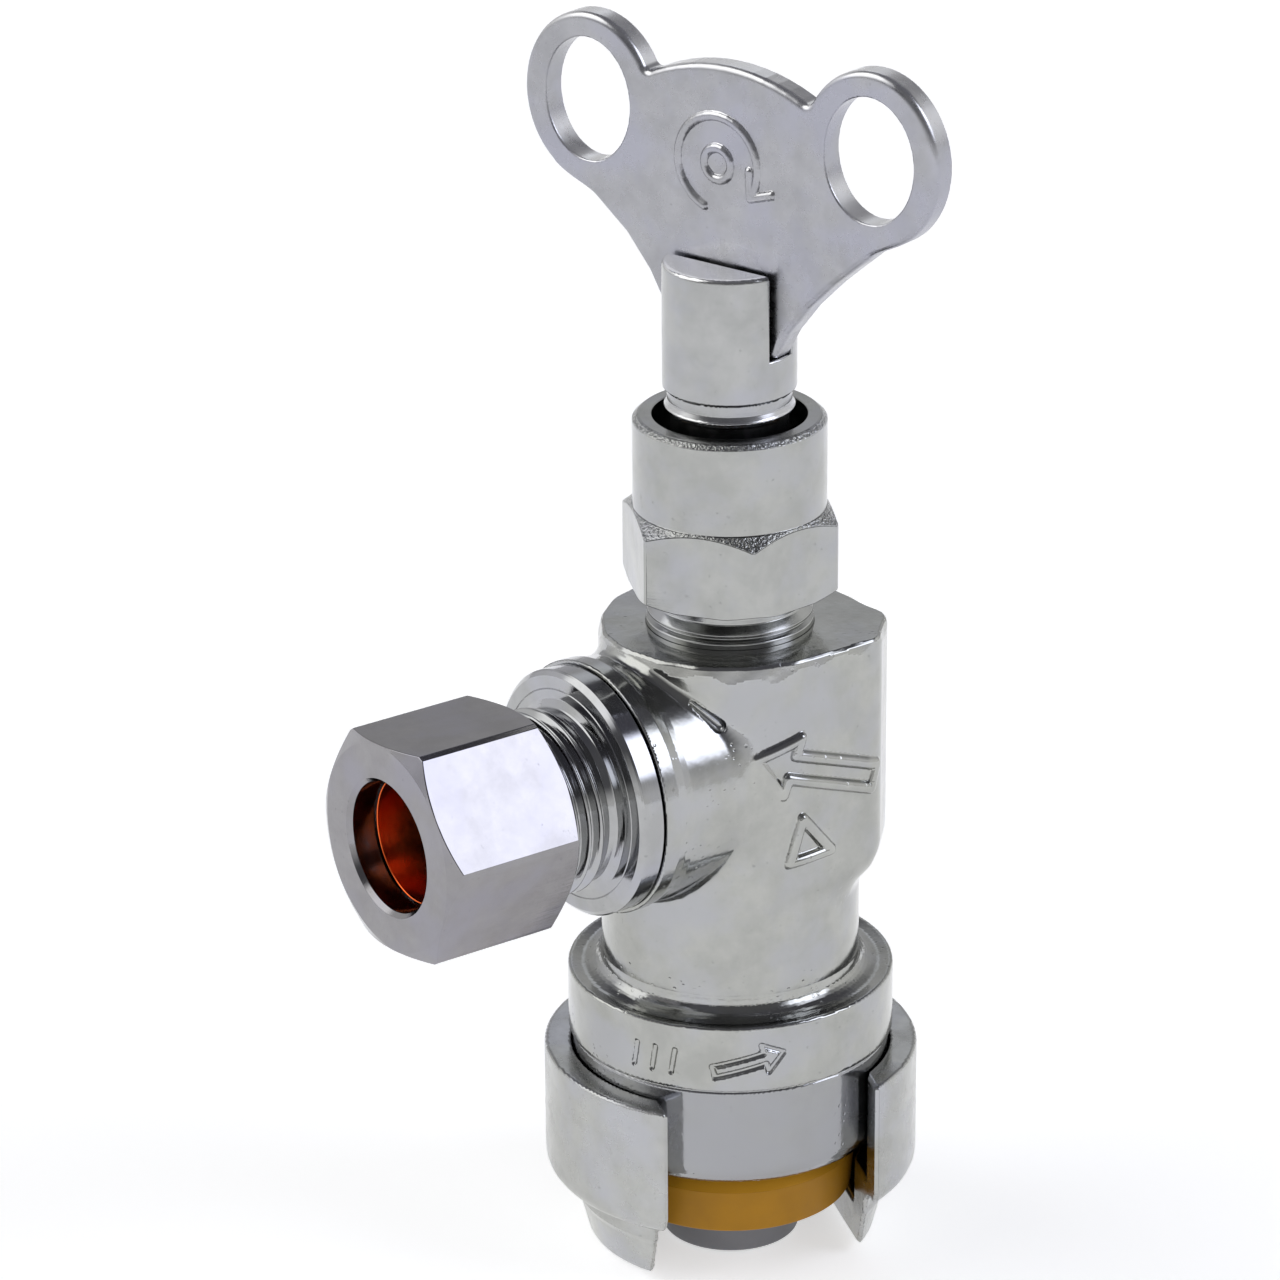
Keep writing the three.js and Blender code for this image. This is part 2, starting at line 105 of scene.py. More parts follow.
def write_mesh(name, points, faces, normals=None, place=UPRIGHT):
    """A smooth-shaded object from points in millimetres. Triangles are quads whose last corner is -1."""
    place = np.array(place)
    points = points @ place[:3, :3].T + place[:3, 3]
    mesh = bpy.data.meshes.new(name)
    mesh.vertices.add(len(points))
    mesh.vertices.foreach_set("co", (points * MM).astype(np.float32).ravel())
    loops = faces[faces >= 0]
    sizes = (faces >= 0).sum(axis=1)
    starts = np.concatenate([[0], np.cumsum(sizes)[:-1]])
    mesh.loops.add(len(loops))
    mesh.loops.foreach_set("vertex_index", loops.astype(np.int32))
    mesh.polygons.add(len(faces))
    mesh.polygons.foreach_set("loop_start", starts.astype(np.int32))
    mesh.polygons.foreach_set("use_smooth", np.ones(len(faces), bool))
    mesh.update(calc_edges=True)
    mesh.validate()
    if normals is None:
        normals = area_normals(points, faces)
    else:
        normals = normals @ place[:3, :3].T
    mesh.normals_split_custom_set_from_vertices(normals.tolist())
    return add_object(name, mesh)


def area_normals(points, faces):
    """Normals at the points. Each face counts by its area, so that flats stay flat beside fillets."""
    last = np.where(faces[:, 3] < 0, faces[:, 2], faces[:, 3])
    across = np.cross(points[faces[:, 2]] - points[faces[:, 0]], points[last] - points[faces[:, 1]])
    total = np.zeros_like(points)
    for corner in range(4):
        used = faces[:, corner] >= 0
        for axis in range(3):
            total[:, axis] += np.bincount(faces[used, corner], across[used, axis], len(points))
    return total / np.maximum(np.linalg.norm(total, axis=1), 1e-12)[:, None]


# ---- turned pieces ----


def round_angles(count=160):
    return np.arange(count) * 2 * math.pi / count


def with_fillets(corners, angles, steps=5):
    """Rows of [radius, height] for each angle. A corner is (radius, height, fillet), and a radius or a
    height may be a plain number or one for each angle."""
    outlines = [np.broadcast_arrays(*corner[:2], angles)[:2] for corner in corners]
    points = np.array(outlines, float).transpose(2, 0, 1)
    rows = []
    for i, corner in enumerate(corners):
        fillet = corner[2] if len(corner) > 2 else 0
        here = points[:, i]
        if not fillet:
            rows.append(here)
            continue
        back = points[:, i - 1] - here
        ahead = points[:, (i + 1) % len(corners)] - here
        back_length = np.linalg.norm(back, axis=1)
        ahead_length = np.linalg.norm(ahead, axis=1)
        back = back / np.maximum(back_length, 1e-9)[:, None]
        ahead = ahead / np.maximum(ahead_length, 1e-9)[:, None]
        half = np.arccos(np.clip((back * ahead).sum(1), -0.9999, 0.9999)) / 2
        reach = np.minimum(fillet / np.tan(half), 0.48 * np.minimum(back_length, ahead_length))
        for step in range(steps + 1):
            t = step / steps
            start = here + back * reach[:, None]
            end = here + ahead * reach[:, None]
            rows.append((1 - t) ** 2 * start + 2 * t * (1 - t) * here + t**2 * end)
    return np.stack(rows, 1)


def groove(wall_r, bottom_r, start, end, lip, root):
    """Outline points of a square groove. lip and root are the fillets of its edges and of its bottom."""
    return [(wall_r, start, lip), (bottom_r, start, root), (bottom_r, end, root), (wall_r, end, lip)]


def revolve(name, corners, angles=None, shift=None, place=UPRIGHT):
    """A solid swept round local Z. The outline closes on itself, or starts and ends on the axis.
    shift(angle, radius, height) moves the surface in or out, as for a screw thread."""
    angles = round_angles() if angles is None else angles
    rows = with_fillets(corners, angles)
    if shift is not None:
        rows[:, :, 0] += shift(angles[:, None], rows[:, :, 0], rows[:, :, 1])
    solid = np.allclose(rows[:, 0, 0], 0) and np.allclose(rows[:, -1, 0], 0)
    turn = angles[:, None]
    rings = np.stack([rows[..., 0] * np.cos(turn), rows[..., 0] * np.sin(turn), rows[..., 1]], -1)
    ends = rings[0, [0, -1]]
    if solid:
        rings = rings[:, 1:-1]
    count, length = rings.shape[:2]
    around = np.arange(count)
    a, k = np.meshgrid(around, np.arange(length - 1 if solid else length), indexing="ij")
    b, ahead = (a + 1) % count, (k + 1) % length
    walls = [a * length + k, b * length + k, b * length + ahead, a * length + ahead]
    faces = np.stack(walls, -1).reshape(-1, 4)
    points = rings.reshape(-1, 3)
    if solid:
        here, beside = around * length, (around + 1) % count * length
        first, last, none = [np.full(count, value) for value in (len(points), len(points) + 1, -1)]
        low = np.stack([first, beside, here, none], -1)
        high = np.stack([last, here + length - 1, beside + length - 1, none], -1)
        faces = np.concatenate([faces, low, high])
        points = np.concatenate([points, ends])
    # The outline may run either way round, so the sign of the volume says which way the faces look.
    corner, third = points[faces[:, 0]], points[faces[:, 2]]
    volume = (corner * np.cross(points[faces[:, 1]], third)).sum()
    quads = faces[:, 3] >= 0
    volume += (corner[quads] * np.cross(third[quads], points[faces[quads, 3]])).sum()
    if volume < 0:
        faces = np.where(faces[:, 3:] < 0, faces[:, [0, 2, 1, 3]], faces[:, [0, 3, 2, 1]])
    return write_mesh(name, points, faces, place=place)


def hexagon_angles(turn, per_flat=22, edge=0.03):
    """Angles round a hexagon: evenly along each flat, and close together at each edge strip."""
    at_edge = edge * np.array([-1, -0.8, -0.4, 0, 0.4, 0.8, 1])
    on_flat = np.linspace(edge, math.pi / 3 - edge, per_flat + 2)[1:-1]
    one_side = np.concatenate([at_edge, on_flat])
    return np.sort(np.concatenate([turn + side * math.pi / 3 + one_side for side in range(6)]))


def hexagon(angles, turn, across_flats, strip):
    """Radius of a hexagon whose edges are cut to flat strips. turn is the angle of one corner."""
    past = (angles - turn) % (math.pi / 3)
    flat = across_flats / 2 / np.cos(past - math.pi / 6)
    cut = across_flats / math.sqrt(3) - strip / (2 * math.tan(math.pi / 3))
    from_corner = np.minimum(past, math.pi / 3 - past)
    return np.minimum(flat, cut / np.cos(from_corner))


THREAD_FLAT = 0.12  # the share of a thread's pitch that is flat, at the crest and at the root


def thread_rows(radius, start, end, pitch):
    """Points along a threaded stretch of an outline, close enough for a thread of this pitch."""
    step = math.copysign(pitch / 14, end - start)
    return [(radius, z) for z in np.arange(start, end, step)]


def thread_cut(thread_r, pitch, depth, start, end, fade):
    """A shift for revolve: a right-hand thread between two heights, cut where the radius is thread_r."""

    def shift(angle, radius, height):
        phase = (height / pitch - angle / (2 * math.pi)) % 1
        valley = np.clip((1 - np.abs(2 * phase - 1) - THREAD_FLAT) / (1 - 2 * THREAD_FLAT), 0, 1)
        inside = np.clip((height - start) / fade, 0, 1) * np.clip((end - height) / fade, 0, 1)
        return np.where(np.abs(radius - thread_r) < 0.02, -depth * valley * inside, 0)

    return shift


# ---- sculpted pieces, drawn as distances to a surface ----


def to_outline(outline, u, v):
    """Signed distance to a closed outline of [u, v] points, negative inside."""
    u, v = np.asarray(u, np.float32), np.asarray(v, np.float32)
    shape = np.broadcast_shapes(u.shape, v.shape)
    nearest = np.full(shape, 1e9, np.float32)
    odd = np.zeros(shape, bool)
    for (u0, v0), (u1, v1) in zip(outline, outline[1:] + outline[:1]):
        du, dv = u1 - u0, v1 - v0
        pu, pv = u - u0, v - v0
        share = np.clip((pu * du + pv * dv) / max(du * du + dv * dv, 1e-12), 0, 1)
        off_u, off_v = pu - share * du, pv - share * dv
        nearest = np.minimum(nearest, off_u * off_u + off_v * off_v)
        if dv != 0:
            between = (pv >= 0) != (v >= v1)
            odd ^= between & ((pu * dv - pv * du < 0) == (dv > 0))
    return np.where(odd, -1, 1) * np.sqrt(nearest)


def merge(a, b, fillet):
    """Union with a round fillet in the crease."""
    inner_a, inner_b = np.maximum(fillet - a, 0), np.maximum(fillet - b, 0)
    return np.maximum(fillet, np.minimum(a, b)) - np.hypot(inner_a, inner_b)


def common(a, b, fillet):
    """Intersection with a rounded edge."""
    return -merge(-a, -b, fillet)


def carve(a, b, fillet):
    """The first solid without the second, with a rounded edge."""
    return common(a, -b, fillet)


def bevel(a, b, width):
    """Intersection with a flat bevel along the edge."""
    return np.maximum(np.maximum(a, b), (a + b + width) * math.sqrt(0.5))


def arc(u, v, radius, start, end, steps=5):
    """Points on an arc, from one angle in degrees to another."""
    turns = np.radians(np.linspace(start, end, steps + 1))
    return [(u + radius * math.cos(t), v + radius * math.sin(t)) for t in turns]


def to_strokes(strokes, u, v):
    """Distance to the nearest of some drawn lines, each a list of [u, v] points."""
    return np.minimum.reduce([np.abs(to_outline(line + line[-2:0:-1], u, v)) for line in strokes])


def arrow(tail, tip, shaft, head):
    """Outline of an arrow. shaft is its half width, and head is the head's half width."""
    (u0, v0), (u1, v1) = tail, tip
    length = math.hypot(u1 - u0, v1 - v0)
    along_u, along_v = (u1 - u0) / length, (v1 - v0) / length
    neck = length - head * 1.3
    half = [(0, shaft), (neck, shaft), (neck, head), (length, 0)]
    local = [*half, *[(a, -b) for a, b in half[-2::-1]], half[0]]
    return [(u0 + a * along_u - b * along_v, v0 + a * along_v + b * along_u) for a, b in local]


def slope(field, points, reach=0.01):
    """Gradient of a distance field at some points."""
    steps = np.array([[1, -1, -1], [-1, -1, 1], [-1, 1, -1], [1, 1, 1]]) * reach
    total = sum(step * field(*(points + step).T).astype(float)[:, None] for step in steps)
    return total / (4 * reach * reach)


BLOCK = 6  # lattice points along a block of the sampling grid
BATCH = 4000  # blocks sampled at a time


def sculpt(name, field, low, high, step, place=UPRIGHT, relax=2):
    """Meshes the surface where a distance field is zero, with the points settled exactly on it."""
    margin = 2.1 * step
    low = np.array(low, float) - margin
    blocks = np.ceil((np.array(high, float) + margin - low) / step / BLOCK).astype(int)
    # Only the blocks near the surface are sampled in full. The others keep the sign of their middle.
    centres = [low[i] + (np.arange(blocks[i]) * BLOCK + (BLOCK - 1) / 2) * step for i in range(3)]
    far = field(centres[0][:, None, None], centres[1][None, :, None], centres[2][None, None, :])
    far = np.broadcast_to(far, blocks)
    values = np.empty((blocks[0], BLOCK, blocks[1], BLOCK, blocks[2], BLOCK), np.float32)
    values[...] = np.where(far < 0, -1, 1)[:, None, :, None, :, None]
    near = np.argwhere(np.abs(far) < BLOCK * step * 1.05)
    ticks = np.arange(BLOCK)
    for part in np.array_split(near, max(1, len(near) // BATCH)):
        axes = [low[i] + (part[:, i, None] * BLOCK + ticks) * step for i in range(3)]
        found = field(axes[0][:, :, None, None], axes[1][:, None, :, None], axes[2][:, None, None, :])
        values[part[:, 0], :, part[:, 1], :, part[:, 2], :] = found
    values = values.reshape(blocks * BLOCK)
    shape = values.shape
    # Each lattice edge that crosses the surface gives a face between the four cells round it.
    loops, crossings = [], []
    for axis in range(3):
        lower = np.take(values, range(shape[axis] - 1), axis)
        upper = np.take(values, range(1, shape[axis]), axis)
        index = np.argwhere((lower < 0) != (upper < 0))
        before, after = lower[tuple(index.T)], upper[tuple(index.T)]
        where = index.astype(float)
        where[:, axis] += before / (before - after)
        corners = []
        for du, dv in ((0, 0), (1, 0), (1, 1), (0, 1)):
            cell = index.copy()
            cell[:, (axis + 1) % 3] -= du
            cell[:, (axis + 2) % 3] -= dv
            corners.append((cell[:, 0] * shape[1] + cell[:, 1]) * shape[2] + cell[:, 2])
        corners = np.stack(corners, 1)
        corners[before >= 0] = corners[before >= 0][:, ::-1]
        loops.append(corners)
        crossings.append(where)
    quads = np.concatenate(loops)
    where = np.concatenate(crossings)
    used, faces = np.unique(quads, return_inverse=True)
    faces = faces.reshape(-1, 4)
    count = np.bincount(faces.ravel(), minlength=len(used))
    sums = [np.bincount(faces.ravel(), np.repeat(where[:, i], 4), len(used)) for i in range(3)]
    points = low + np.stack(sums, 1) / count[:, None] * step
    # The points are evened out, and then moved along the gradient onto the surface.
    for turn in range(relax + 2):
        if turn < relax:
            total = np.zeros_like(points)
            for side in (1, 3):
                beside = np.roll(faces, side, axis=1).ravel()
                for i in range(3):
                    total[:, i] += np.bincount(faces.ravel(), points[beside, i], len(points))
            points = 0.5 * points + 0.5 * total / (2 * count[:, None])
        normals = slope(field, points)
        distance = field(*points.T).astype(float)
        size = np.maximum((normals**2).sum(1), 0.05)
        move = np.clip(distance / size, -step, step)
        points -= normals * move[:, None]
    normals = slope(field, points)
    normals /= np.maximum(np.linalg.norm(normals, axis=1), 1e-9)[:, None]
    return write_mesh(name, points, faces, normals, place)


def wobble(x, y, z, scale, seed):
    """Smooth uneven values from about -1 to 1, for the marks of forging and polishing."""
    total = 0
    waves = ((1.0, 0.7, 0.4), (-0.5, 1.1, 0.8), (0.6, -0.9, 1.2), (1.7, 0.3, -1.4))
    for i, (a, b, c) in enumerate(waves):
        total = total + np.sin((a * x + b * y + c * z) / scale + seed * (i + 1) * 1.7)
    return total / 3


# ---- body ----

SKIRT_R = 12.2
SKIRT_CORNER = 1.9
FLANGE_Z = (8.5, 13.9)
BARREL_R = 9.86
BARREL_TOP = 23.5  # hidden in the block, which starts lower down
BLOCK_START = 20
BLOCK_TAPER = 21.7  # where the taper under the block leaves the barrel
BLOCK_HALF = 9.9
BLOCK_BACK = 10.2
BLOCK_CORNER = 3.6
BOSS_R = 9.5
BOSS_LIP_R = 9.75
CHAMBER_R = 6.4
NECK_R = 6.2
MOUTH_R = 9.0
CAVITY_R = 10.4
CAVITY_Z = (2.0, 12.6)
SOCKET_R = TUBE_R + 0.11
TUBE_STOP = 18.2
PORT_R = 4.0
SEAT = {"inner": 3.6, "outer": 4.6, "z": 25.8, "floor": 24.6}

BODY_OUTLINE = [
    (0, 0),
    (MOUTH_R, 0),
    *arc(SKIRT_R - SKIRT_CORNER, SKIRT_CORNER, SKIRT_CORNER, -90, 0, 7),
    (SKIRT_R, FLANGE_Z[0] - 0.35),
    (SKIRT_R - 0.12, FLANGE_Z[0] - 0.15),
    (SKIRT_R - 0.12, FLANGE_Z[0]),
    *arc(FLANGE_R - 0.25, FLANGE_Z[0] + 0.25, 0.25, -90, 0, 3),
    *arc(FLANGE_R - 0.25, FLANGE_Z[1] - 0.25, 0.25, 0, 90, 3),
    *arc(BARREL_R + 1.55, FLANGE_Z[1] + 1.5, 1.7, -90, -148, 6),
    (BARREL_R + 0.12, FLANGE_Z[1] + 0.72),
    (BARREL_R + 0.08, FLANGE_Z[1] + 0.95),
    (BARREL_R, FLANGE_Z[1] + 1.3),
    (BARREL_R, BARREL_TOP),
    (0, BARREL_TOP),
]

BODY_BORE = [
    (0, -2),
    (MOUTH_R + 3, -2),
    (MOUTH_R + 0.6, 0.0),
    (MOUTH_R, 1.0),
    (MOUTH_R, CAVITY_Z[0]),
    (CAVITY_R, CAVITY_Z[0]),
    (CAVITY_R, CAVITY_Z[1]),
    (SOCKET_R, CAVITY_Z[1]),
    (SOCKET_R, TUBE_STOP),
    (PORT_R, TUBE_STOP),
    (PORT_R, 22.5),
    (SEAT["inner"], 23.0),
    (SEAT["inner"], SEAT["z"]),
    (SEAT["outer"], SEAT["z"]),
    (SEAT["outer"], SEAT["floor"]),
    (CHAMBER_R, SEAT["floor"]),
    (CHAMBER_R, BLOCK_TOP - 2.0),
    (NECK_R + 0.05, BLOCK_TOP - 1.8),
    (NECK_R + 0.05, BLOCK_TOP + 3),
    (0, BLOCK_TOP + 3),
]

BOSS_OUTLINE = [
    (0, 0),
    (BOSS_R, 0),
    (BOSS_R, BOSS_END - 2.6),
    (BOSS_R + 0.06, BOSS_END - 2.0),
    (BOSS_LIP_R, BOSS_END - 1.2),
    *arc(BOSS_LIP_R - 0.08, BOSS_END - 0.08, 0.08, 0, 90, 2),
    (0, BOSS_END),
]

PLUG_R, PLUG_FLOOR = 6.8, 8.0
BOSS_BORE = [(0, 3), (PORT_R, 3), (PORT_R, PLUG_FLOOR), (PLUG_R, PLUG_FLOOR)]
BOSS_BORE += [(PLUG_R, BOSS_END + 2), (0, BOSS_END + 2)]

FLOW_ARROW = arrow((6.1, 31.0), (-4.4, 34.7), 0.95, 2.3)
TRIANGLE = [(-1.75, 25.9), (-0.7, 29.3), (1.95, 26.1), (-1.75, 25.9)]
RIM_ARROW = arrow((-9.3, 10.2), (-3.9, 11.6), 0.45, 1.15)
RIM_BARS = [[(u, 9.9), (u + 0.3, 11.7)] for u in (-15.8, -14.2, -12.6)]
CREASE_DENT = [(5.9, -7.9, 39.1), (7.5, -6.6, 37.5)]


def block_plan(x, y):
    """Half round towards the outlet, flat at the sides and the back, with cut back corners."""
    side = np.abs(x) - BLOCK_HALF
    corner = (np.abs(x) + y - (BLOCK_HALF + BLOCK_BACK - BLOCK_CORNER)) * math.sqrt(0.5)
    boxed = common(common(side, corner, 0.7), y - BLOCK_BACK, 0.7)
    return np.where(y < 0, np.hypot(x, y) - BLOCK_HALF, boxed)


def block_field(x, y, z):
    plan = block_plan(x, y)
    taper = (np.hypot(x, y) - BARREL_R - (z - BLOCK_TAPER)) * math.sqrt(0.5)
    solid = common(plan, taper, 1.2)
    angle = np.arctan2(y, x)
    uneven = 0.09 * np.sin(angle * 5 + 0.6) * np.sin(angle * 2 - 1.0) + 0.05 * np.sin(angle * 17)
    ripple = 0.03 * wobble(x, y, z, 0.6, 4)
    trimmed = plan * 0.97 + (z - BLOCK_TOP) * 0.24 + 0.2 + uneven + ripple
    edge = (plan + z - BLOCK_TOP + 0.36 + uneven) * math.sqrt(0.5) + ripple * 0.5
    return np.maximum(np.maximum(solid, z - BLOCK_TOP), np.maximum(trimmed, edge))


def body_marks(outer, x, y, z):
    """A raised flow arrow and triangle on the block, and a stamped arrow and bars on the flange."""
    turn = np.arctan2(y, x)
    along = np.where(y < 0, BLOCK_HALF * turn, y)
    raised = np.hypot(to_strokes([FLOW_ARROW, TRIANGLE], along, z), block_plan(x, y))
    outer = merge(outer, np.where(x < 0, 5.0, raised - 0.46), 0.14)
    above = np.hypot(x, y) - FLANGE_R
    stamped = np.hypot(to_strokes([RIM_ARROW, *RIM_BARS], FLANGE_R * turn, z), above)
    return carve(outer, stamped - 0.23, 0.1)


def crease_dent(x, y, z):
    """Distance to a short slanting groove where the boss meets the block."""
    start, end = np.array(CREASE_DENT[0]), np.array(CREASE_DENT[1])
    line = end - start
    offset = (x - start[0], y - start[1], z - start[2])
    share = np.clip(sum(offset[i] * line[i] for i in range(3)) / (line @ line), 0, 1)
    away_from = [offset[i] - share * line[i] for i in range(3)]
    return np.sqrt(sum(value * value for value in away_from)) - 0.45 * np.sqrt(0.3 + share)


def body_field(x, y, z):
    radius = np.hypot(x, y)
    block = np.maximum(block_field(x, y, z), BLOCK_START - z)
    overhang = radius - BARREL_R - block_plan(x, y)
    outer = merge(to_outline(BODY_OUTLINE, radius, z), block, np.clip(0.05 + 0.5 * overhang, 0.05, 0.7))
    boss = to_outline(BOSS_OUTLINE, np.hypot(x, z - OUTLET_Z), -y)
    crease = 0.75 + 0.2 * wobble(x, y, z, 1.5, 1)
    outer = merge(outer, boss, crease)
    outer = carve(outer, crease_dent(x, y, z), 0.15)
    outer = body_marks(outer, x, y, z)
    outer = carve(outer, to_outline(BODY_BORE, radius, z), 0.12)
    return carve(outer, to_outline(BOSS_BORE, np.hypot(x, z - OUTLET_Z), -y), 0.12)


def make_body():
    return sculpt("valve_body_forging", body_field, BODY_LOW, BODY_HIGH, step=0.155)


# ---- outlet ----

THREAD_R = 14.29 / 2
THREAD_DEPTH = 0.6
DISC = {"from": 13.0, "to": 15.0, "r": NIPPLE_HIGH[0]}
NIPPLE_END = -NIPPLE_LOW[1]
NIPPLE_BACK = -NIPPLE_HIGH[1]
NUT_BACK = -NUT_HIGH[1]
NUT_FRONT = -NUT_LOW[1] + 0.2
NUT_FLATS = 16.1
NUT_BORE_R = 4.97
NUT_TURN = math.radians(-25)


def make_nipple():
    neck = DISC["to"] + 0.95
    plug_r, bore, tube_stop = 6.6, OUTLET_TUBE_R + 0.15, 17.0
    scribed_r = 8.06
    corners = [
        (PORT_R, NIPPLE_BACK, 0.1),
        (plug_r, NIPPLE_BACK, 0.2),
        *groove(plug_r, plug_r - 1.1, 9.6, 11.1, 0.05, 0.1),
        (plug_r, DISC["from"]),
        (DISC["r"] - 0.08, DISC["from"], 0.03),
        (DISC["r"], DISC["from"] + 0.08, 0.04),
        (DISC["r"], DISC["to"] - 0.4, 0.06),
        (DISC["r"] - 0.12, DISC["to"] - 0.26, 0.06),
        (DISC["r"] - 0.42, DISC["to"], 0.1),
        (scribed_r + 0.06, DISC["to"], 0.02),
        (scribed_r, DISC["to"] - 0.07, 0.02),
        (scribed_r - 0.06, DISC["to"], 0.02),
        (7.35, DISC["to"] + 0.02, 0.3),
        (6.7, DISC["to"] + 0.35, 0.3),
        (6.55, neck, 0.1),
        (THREAD_R, neck + 0.5, 0.02),
        *thread_rows(THREAD_R, neck + 0.55, NIPPLE_END - 0.55, OUTLET_PITCH),
        (THREAD_R, NIPPLE_END - 0.5, 0.02),
        (THREAD_R - 0.5, NIPPLE_END, 0.08),
        (OUTLET_TUBE_R + 1.2, NIPPLE_END, 0.1),
        (bore, NIPPLE_END - 2.0, 0.1),
        (bore, tube_stop, 0.05),
        (PORT_R, tube_stop - 0.5, 0.05),
    ]
    cut = thread_cut(THREAD_R, OUTLET_PITCH, THREAD_DEPTH, neck + 0.1, NIPPLE_END + 0.4, 0.5)
    return revolve("outlet_nipple_threaded", corners, round_angles(220), cut, OUTLET)


def make_nut():
    turn = NUT_TURN + math.radians(30)
    angles = hexagon_angles(turn)
    side = hexagon(angles, turn, NUT_FLATS, 0.5)
    face_r = NUT_FLATS / 2 - 0.02
    drop = np.maximum(side - face_r, 0) * math.tan(math.radians(30))
    thread_r, thread_end, cone_end = THREAD_R + 0.12, 26.8, 29.0
    corners = [
        (THREAD_R + 0.8, NUT_BACK, 0.1),
        (face_r, NUT_BACK, 0.12),
        (side, NUT_BACK + drop, 0.1),
        (side, NUT_FRONT - drop, 0.12),
        (face_r - 0.15, NUT_FRONT, 0.25),
        (NUT_BORE_R + 0.35, NUT_FRONT, 0.1),
        (NUT_BORE_R, NUT_FRONT - 0.35, 0.1),
        (NUT_BORE_R, cone_end, 0.05),
        (thread_r, thread_end, 0.1),
        *thread_rows(thread_r, thread_end - 0.3, NUT_BACK + 1.2, OUTLET_PITCH),
        (thread_r, NUT_BACK + 0.8, 0.1),
    ]
    cut = thread_cut(thread_r, OUTLET_PITCH, THREAD_DEPTH, NUT_BACK + 0.4, thread_end + 0.4, 0.8)
    return revolve("compression_nut_hex", corners, angles, cut, OUTLET)


def make_ferrule():
    bore, outer = OUTLET_TUBE_R + 0.05, 6.3
    low, high = span("ferrule")
    back, front = -high[1], -low[1] + 0.12
    corners = [
        (bore, back, 0.1),
        (bore + 0.4, back, 0.12),
        (outer, back + 1.5, 0.5),
        (outer, front - 1.4, 0.5),
        (bore + 0.12, front - 0.08, 0.03),
        (bore + 0.08, front, 0.03),
        (bore, front - 0.05, 0.03),
    ]
    return revolve("brass_ferrule", corners, round_angles(128), None, OUTLET)


# ---- bonnet ----

HEX = {"from": 44.9, "to": 51.4, "flats": 14.73, "turn": math.radians(5.36)}
SLEEVE_R = 7.26
SLEEVE_BORE_R = 5.78
STEM_BORE = {"r": 4.05, "to": 44.6}
STEM_PITCH = 1.35
STEM_THREAD = 0.55
JOURNAL_R = 2.6
PACKING_BOX = {"r": 5.0, "from": 46.2, "to": 50.4}


def make_bonnet():
    foot, top = heights("lockshield_bonnet")
    turn = HEX["turn"] + math.radians(30)
    angles = hexagon_angles(turn, 22, 0.022)
    side = hexagon(angles, turn, HEX["flats"], 0.28)
    drop_top = (side - SLEEVE_R + 0.15) * math.tan(math.radians(34))
    drop_low = np.maximum(side - HEX["flats"] / 2 - 0.2, 0.01) * math.tan(math.radians(30))
    corners = [
        (STEM_BORE["r"], foot, 0.2),
        (NECK_R - 0.5, foot, 0.1),
        (NECK_R, foot + 0.5, 0.1),
        *groove(NECK_R, NECK_R - 1.0, 37.0, 38.6, 0.05, 0.1),
        (NECK_R, BLOCK_TOP + 0.02, 0.02),
        (NECK_R + 0.12, BLOCK_TOP + 0.02, 0.02),
        (NECK_R + 0.12, BLOCK_TOP + 0.45, 0.16),
        (NECK_R - 0.25, BLOCK_TOP + 0.72, 0.1),
        (NECK_R - 0.25, BLOCK_TOP + 0.85, 0.05),
        (NECK_R + 0.02, BLOCK_TOP + 0.95, 0.08),
        (NECK_R + 0.02, BLOCK_TOP + 1.12, 0.1),
        (NECK_R - 0.55, BLOCK_TOP + 1.75, 0.3),
        (NECK_R - 0.55, HEX["from"], 0.3),
        (HEX["flats"] / 2 - 0.2, HEX["from"], 0.12),
        (side, HEX["from"] + drop_low, 0.1),
        (side, HEX["to"] - drop_top, 0.1),
        (SLEEVE_R, HEX["to"], 0.12),
        (SLEEVE_R, top - 0.42, 0.06),
        (SLEEVE_R - 0.5, top, 0.08),
        (SLEEVE_BORE_R, top, 0.1),
        *groove(SLEEVE_BORE_R, SLEEVE_BORE_R + 0.37, 51.7, 50.9, 0.03, 0.05),
        (SLEEVE_BORE_R, PACKING_BOX["to"], 0.05),
        (PACKING_BOX["r"], PACKING_BOX["to"], 0.1),
        (PACKING_BOX["r"], PACKING_BOX["from"], 0.15),
        (JOURNAL_R + 0.15, PACKING_BOX["from"], 0.1),
        (JOURNAL_R + 0.15, STEM_BORE["to"], 0.1),
        (STEM_BORE["r"], STEM_BORE["to"], 0.3),
        *thread_rows(STEM_BORE["r"], STEM_BORE["to"] - 0.4, foot + 0.4, STEM_PITCH),
    ]
    cut = thread_cut(STEM_BORE["r"], STEM_PITCH, STEM_THREAD, foot + 0.2, STEM_BORE["to"] - 0.2, 0.5)
    return revolve("lockshield_bonnet_turned", corners, angles, cut)


# ---- key ----

STEM_SQUARE = 3.8
SHANK_R = 5.0
SLOT = {"floor": 63.8, "front": -1.45, "back": 1.05}
PLATE = {"half": 1.0, "shift": 0.35, "dome_r": 16.0}
RING = {"x": 12.68, "z": 80.6, "outer": (5.95, 6.55), "hole": (3.9, 4.7)}


